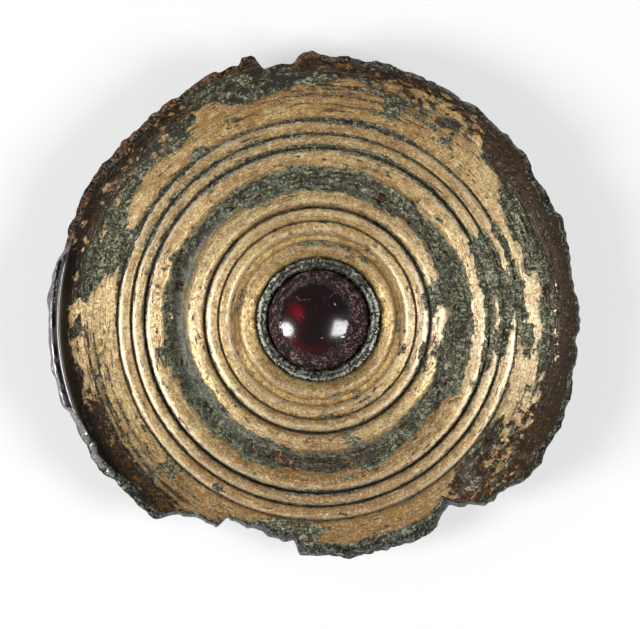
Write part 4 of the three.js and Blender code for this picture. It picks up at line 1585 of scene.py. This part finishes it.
class BroochColours(bpy.types.PropertyGroup):
    """Colours of every finish, as linear values."""

    gilding: colour("Gilding", "Tan gold of the clean gilding", (0.58, 0.41, 0.15))
    gilding_warm: colour("Warm Gilding", "Orange gold of the lower border", (0.3, 0.16, 0.03))
    # Rubbed gilding, also used for painted highlights and glints
    gilding_pale: colour("Pale Gilding", "Rubbed gilding", (0.91, 0.8, 0.595))
    ruddy: colour("Ruddy", "Red-brown stains in the gilding", (0.28, 0.135, 0.045))
    # Soil in the tooling, also used as painted shade
    soil: colour("Soil", "Brown film in the tooling", (0.17, 0.095, 0.04))
    patina: colour("Patina", "Smooth brown ground", (0.028, 0.0205, 0.0145))
    patina_red: colour("Red Patina", "Warmer parts of the brown ground", (0.042, 0.023, 0.014))
    corrosion: colour("Corrosion", "Grey-green ground", (0.115, 0.11, 0.056))
    # Dark corrosion, also used as painted shade in the ground's low places and beside the channel's
    # sheen
    corrosion_dark: colour("Dark Corrosion", "Low places of the ground", (0.017, 0.017, 0.01))
    # Pale grains, also used for painted glints on the ground
    corrosion_light: colour("Light Corrosion", "Grains of the ground", (0.5, 0.49, 0.35))
    verdigris: colour("Verdigris", "Pale green by the gilding's edges", (0.25, 0.33, 0.22))
    verdigris_deep: colour("Deep Verdigris", "Vivid green in the ground", (0.045, 0.095, 0.05))
    # The grooves' dark: partly corrosion and partly painted shade
    groove: colour("Groove", "Dirt in the grooves", (0.016, 0.016, 0.012))
    # Painted sheen: a pale reflection on the channel's polished foot
    sheen: colour("Sheen", "Polished foot of the channel's side", (0.26, 0.26, 0.23))
    # Grey streaks where brown meets green, partly a painted sheen
    worn_grey: colour("Worn Grey", "Streaks where brown meets green", (0.16, 0.14, 0.13))
    lip: colour("Lip", "Dark smooth lip that is left", (0.02, 0.015, 0.014))
    # Pale crumbs, used as painted glints on the broken face
    crumb: colour("Crumb", "Grains of the broken face", (0.5, 0.5, 0.44))
    # Dark crumbs, also used as painted shade in the broken face's low places
    crumb_dark: colour("Dark Crumb", "Low places of the broken face", (0.014, 0.012, 0.008))
    copper: colour("Copper", "Orange oxide on the broken edge", (0.36, 0.15, 0.06))
    collar_dark: colour("Dark Collar", "Low places of the collar", (0.011, 0.011, 0.006))
    collar_green: colour("Green Collar", "Corrosion of the collar", (0.095, 0.095, 0.05))
    # Painted glints on the collar's beads
    bead: colour("Bead", "Glinting beads of the collar", (0.8, 0.8, 0.74))
    garnet_deep: colour("Garnet", "Body of the stone", (0.007, 0.001, 0.0015))
    # Painted glow of light through the garnet
    garnet_lit: colour("Lit Garnet", "Where the stone lets light through", (0.38, 0.0, 0.012))
    amber: colour("Amber Crystal", "Orange crystal in the stone", (0.5, 0.07, 0.03))
    pale_crystal: colour("Pale Crystal", "Bright crystal in the stone", (0.9, 0.8, 0.6))
    margin: colour("Margin", "Abraded margin of the stone", (0.055, 0.022, 0.026))
    margin_dark: colour("Dark Margin", "Pits of the margin", (0.02, 0.01, 0.011))
    margin_light: colour("Light Margin", "Grains of the margin", (0.5, 0.36, 0.31))
    crumb_green: colour("Green Crumb", "Green parts of the broken face", (0.05, 0.06, 0.035))
    see_through: amount("See-through", "Share of light that enters the garnet", 0.3, min=0, max=1)


class BroochStageSettings(bpy.types.PropertyGroup):
    """The floor, the light and the camera."""

    floor: colour("Floor", "Pale sheet that the brooch lies on", (0.4, 0.4, 0.4))
    backlight: amount("Backlight", "Light that comes through the sheet", 0.45)
    walls: amount("Walls", "Light from low down", 1.5)
    ceiling: amount("Ceiling", "Light from overhead", 0.12)
    side: amount("Side", "How much more light comes from the upper left", 0.5)
    left: amount("Left Lamp", "Power of the left lamp", 2.1, unit="POWER")
    right: amount("Right Lamp", "Power of the right lamp", 1.7, unit="POWER")
    distance: length("Camera Distance", "Height of the camera over the rings", 800.0)
    width: length("View Width", "Width of the picture at the rings", 55.68)


def settings_of(name):
    """The settings that the scene holds for one piece."""
    return getattr(bpy.context.scene, name)


SHARP_DEGREES = 62


def finish_piece(made, material, node, sharp=False):
    """Gives a piece its material, its smooth shading and its place in the frame."""
    made.data.materials.clear()
    made.data.materials.append(material)
    made.data.shade_smooth()
    if sharp:
        edit_mesh(made, mark_sharp)
    if made.data.validate():
        raise RuntimeError(f"{made.name} has faces that can't be used")
    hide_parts(node)
    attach(made, "root")


def mark_sharp(work):
    """Marks the edges where two faces meet at a sharp angle."""
    for edge in work.edges:
        edge.smooth = edge.calc_face_angle(0.0) < math.radians(SHARP_DEGREES)


class BROOCH_OT_saucer(bpy.types.Operator):
    """Build the saucer with its rings, worn gilding, broken rim, lugs and catch"""

    bl_idname = "brooch.saucer"
    bl_label = "Saucer"

    def execute(self, context):
        settings = settings_of("brooch_saucer")
        made = saucer_turning(settings)
        added = fittings()
        edit_mesh(added, face_outward)
        join_solid(made, added)
        if not len(made.data.vertices):
            raise RuntimeError("the saucer and its fittings didn't join")
        store_wear(made, settings)
        material = saucer_finish(settings_of("brooch_colours"))
        finish_piece(made, material, "saucer", True)
        return {"FINISHED"}


class BROOCH_OT_collar(bpy.types.Operator):
    """Build the corroded collar round the stone"""

    bl_idname = "brooch.collar"
    bl_label = "Collar"

    def execute(self, context):
        made = collar_mesh(settings_of("brooch_collar"))
        store_collar(made)
        material = collar_finish(settings_of("brooch_colours"))
        finish_piece(made, material, "stone_collar")
        return {"FINISHED"}


class BROOCH_OT_stone(bpy.types.Operator):
    """Build the domed garnet"""

    bl_idname = "brooch.stone"
    bl_label = "Garnet"

    def execute(self, context):
        made = stone_mesh(settings_of("brooch_stone"))
        store_stone(made)
        material = stone_finish(settings_of("brooch_colours"))
        finish_piece(made, material, "garnet_cabochon")
        return {"FINISHED"}


# Where the lamps stand: direction round the brooch, height over the floor in degrees, distance,
# width and height of their faces in millimetres and form
LEFT_LAMP = (193.0, 46.5, 500.0, 165.0, 280.0, "ELLIPSE")
RIGHT_LAMP = (-12.0, 52.0, 500.0, 160.0, 245.0, "RECTANGLE")
# Sine of the height where the walls end and where the ceiling begins
CEILING = (0.24, 0.48)
# The way of the brighter walls
BRIGHT_WAY = (-0.82, 0.57)
FLOOR_HALF = 1500.0
# The picture's middle as seen in the brooch's own frame
VIEW_MIDDLE = (0.13, 0.435)
# The camera's sensor in millimetres, and how near and how far it sees, in metres
SENSOR_WIDTH = 36.0
SIGHT = (0.01, 10.0)
WHITE = (1.0, 1.0, 1.0, 1.0)


def add_lamp(name, lamp, power):
    """A lamp that faces the brooch."""
    turn, rise, distance, across, tall, shape = lamp
    a, e = math.radians(turn), math.radians(rise)
    light = bpy.data.lights.new(name, "AREA")
    light.shape = shape
    light.size, light.size_y = across * MM, tall * MM
    light.energy = power
    made = bpy.data.objects.new(name, light)
    bpy.context.scene.collection.objects.link(made)
    way = (math.cos(e) * math.cos(a), math.cos(e) * math.sin(a), math.sin(e))
    made.location = [distance * MM * c for c in way]
    made.rotation_mode = "QUATERNION"
    made.rotation_quaternion = made.location.to_track_quat("Z", "Y")


def pale_room(stage):
    """The light from all round: strong from low down and weak from overhead.

    Its strength goes from the walls' to the ceiling's by the S-curve over the sine of the
    height, and is greater towards the upper left.
    """
    world = bpy.data.worlds.new("pale_room")
    world.use_nodes = True
    f = Nodes(world.node_tree)
    x, y, z = f.axes(f.node("ShaderNodeTexCoord", {}).outputs["Generated"])
    overhead = z.step(*CEILING)
    bright = 1.0 + (x * BRIGHT_WAY[0] + y * BRIGHT_WAY[1]) * stage.side
    strength = bright * stage.walls * (1.0 - overhead) + overhead * stage.ceiling
    background = f.tree.nodes["Background"]
    f.connect(background.inputs["Color"], WHITE)
    f.connect(background.inputs["Strength"], strength)
    return world


class BROOCH_OT_stage(bpy.types.Operator):
    """Lay the pale lit sheet, hang the lamps and set the camera straight over the brooch"""

    bl_idname = "brooch.stage"
    bl_label = "Stage"

    def execute(self, context):
        stage = settings_of("brooch_stage")
        far, low = FLOOR_HALF, CAD_BOX[0][2] / MM
        corners = np.array([[-far, -far, low], [far, -far, low], [far, far, low], [-far, far, low]])
        floor = mesh_object("floor", corners, np.array([[0, 1, 2, 3]]))
        paper = Finish("pale_sheet")
        paper.set("Base Color", solid(stage.floor))
        paper.set("Emission Color", WHITE)
        paper.set("Emission Strength", stage.backlight)
        paper.set("Roughness", 0.9)
        floor.data.materials.append(paper.material)
        context.scene.world = pale_room(stage)
        add_lamp("left_lamp", LEFT_LAMP, stage.left)
        add_lamp("right_lamp", RIGHT_LAMP, stage.right)
        lens = bpy.data.cameras.new("camera")
        lens.sensor_width = SENSOR_WIDTH
        lens.lens = SENSOR_WIDTH * stage.distance / stage.width
        lens.clip_start, lens.clip_end = SIGHT
        camera = bpy.data.objects.new("camera", lens)
        context.scene.collection.objects.link(camera)
        camera.location = (VIEW_MIDDLE[0] * MM, VIEW_MIDDLE[1] * MM, stage.distance + RING_TOP * MM)
        context.scene.camera = camera
        context.scene.view_settings.view_transform = "Standard"
        return {"FINISHED"}


class BROOCH_PT_sidebar(bpy.types.Panel):
    """Lists the brooch's pieces with their sizes and colours"""

    bl_idname = "BROOCH_PT_sidebar"
    bl_label = "Saucer Brooch"
    bl_space_type = "VIEW_3D"
    bl_region_type = "UI"
    bl_category = "Brooch"

    def draw(self, context):
        for group in SETTINGS:
            box = self.layout.box()
            owner = getattr(context.scene, group)
            for name in owner.__annotations__:
                box.prop(owner, name)
        for operator in OPERATORS:
            self.layout.operator(operator.bl_idname)


SETTINGS = {
    "brooch_saucer": BroochSaucerSettings,
    "brooch_collar": BroochCollarSettings,
    "brooch_stone": BroochStoneSettings,
    "brooch_colours": BroochColours,
    "brooch_stage": BroochStageSettings,
}
OPERATORS = (BROOCH_OT_stage, BROOCH_OT_saucer, BROOCH_OT_collar, BROOCH_OT_stone)


def register():
    for group, kind in SETTINGS.items():
        bpy.utils.register_class(kind)
        setattr(bpy.types.Scene, group, bpy.props.PointerProperty(type=kind))
    for operator in OPERATORS:
        bpy.utils.register_class(operator)
    bpy.utils.register_class(BROOCH_PT_sidebar)


def unregister():
    bpy.utils.unregister_class(BROOCH_PT_sidebar)
    for operator in reversed(OPERATORS):
        bpy.utils.unregister_class(operator)
    for group, kind in SETTINGS.items():
        delattr(bpy.types.Scene, group)
        bpy.utils.unregister_class(kind)


def main():
    register()
    bpy.ops.brooch.stage()
    bpy.ops.brooch.saucer()
    bpy.ops.brooch.collar()
    bpy.ops.brooch.stone()


if __name__ == "__main__":
    main()
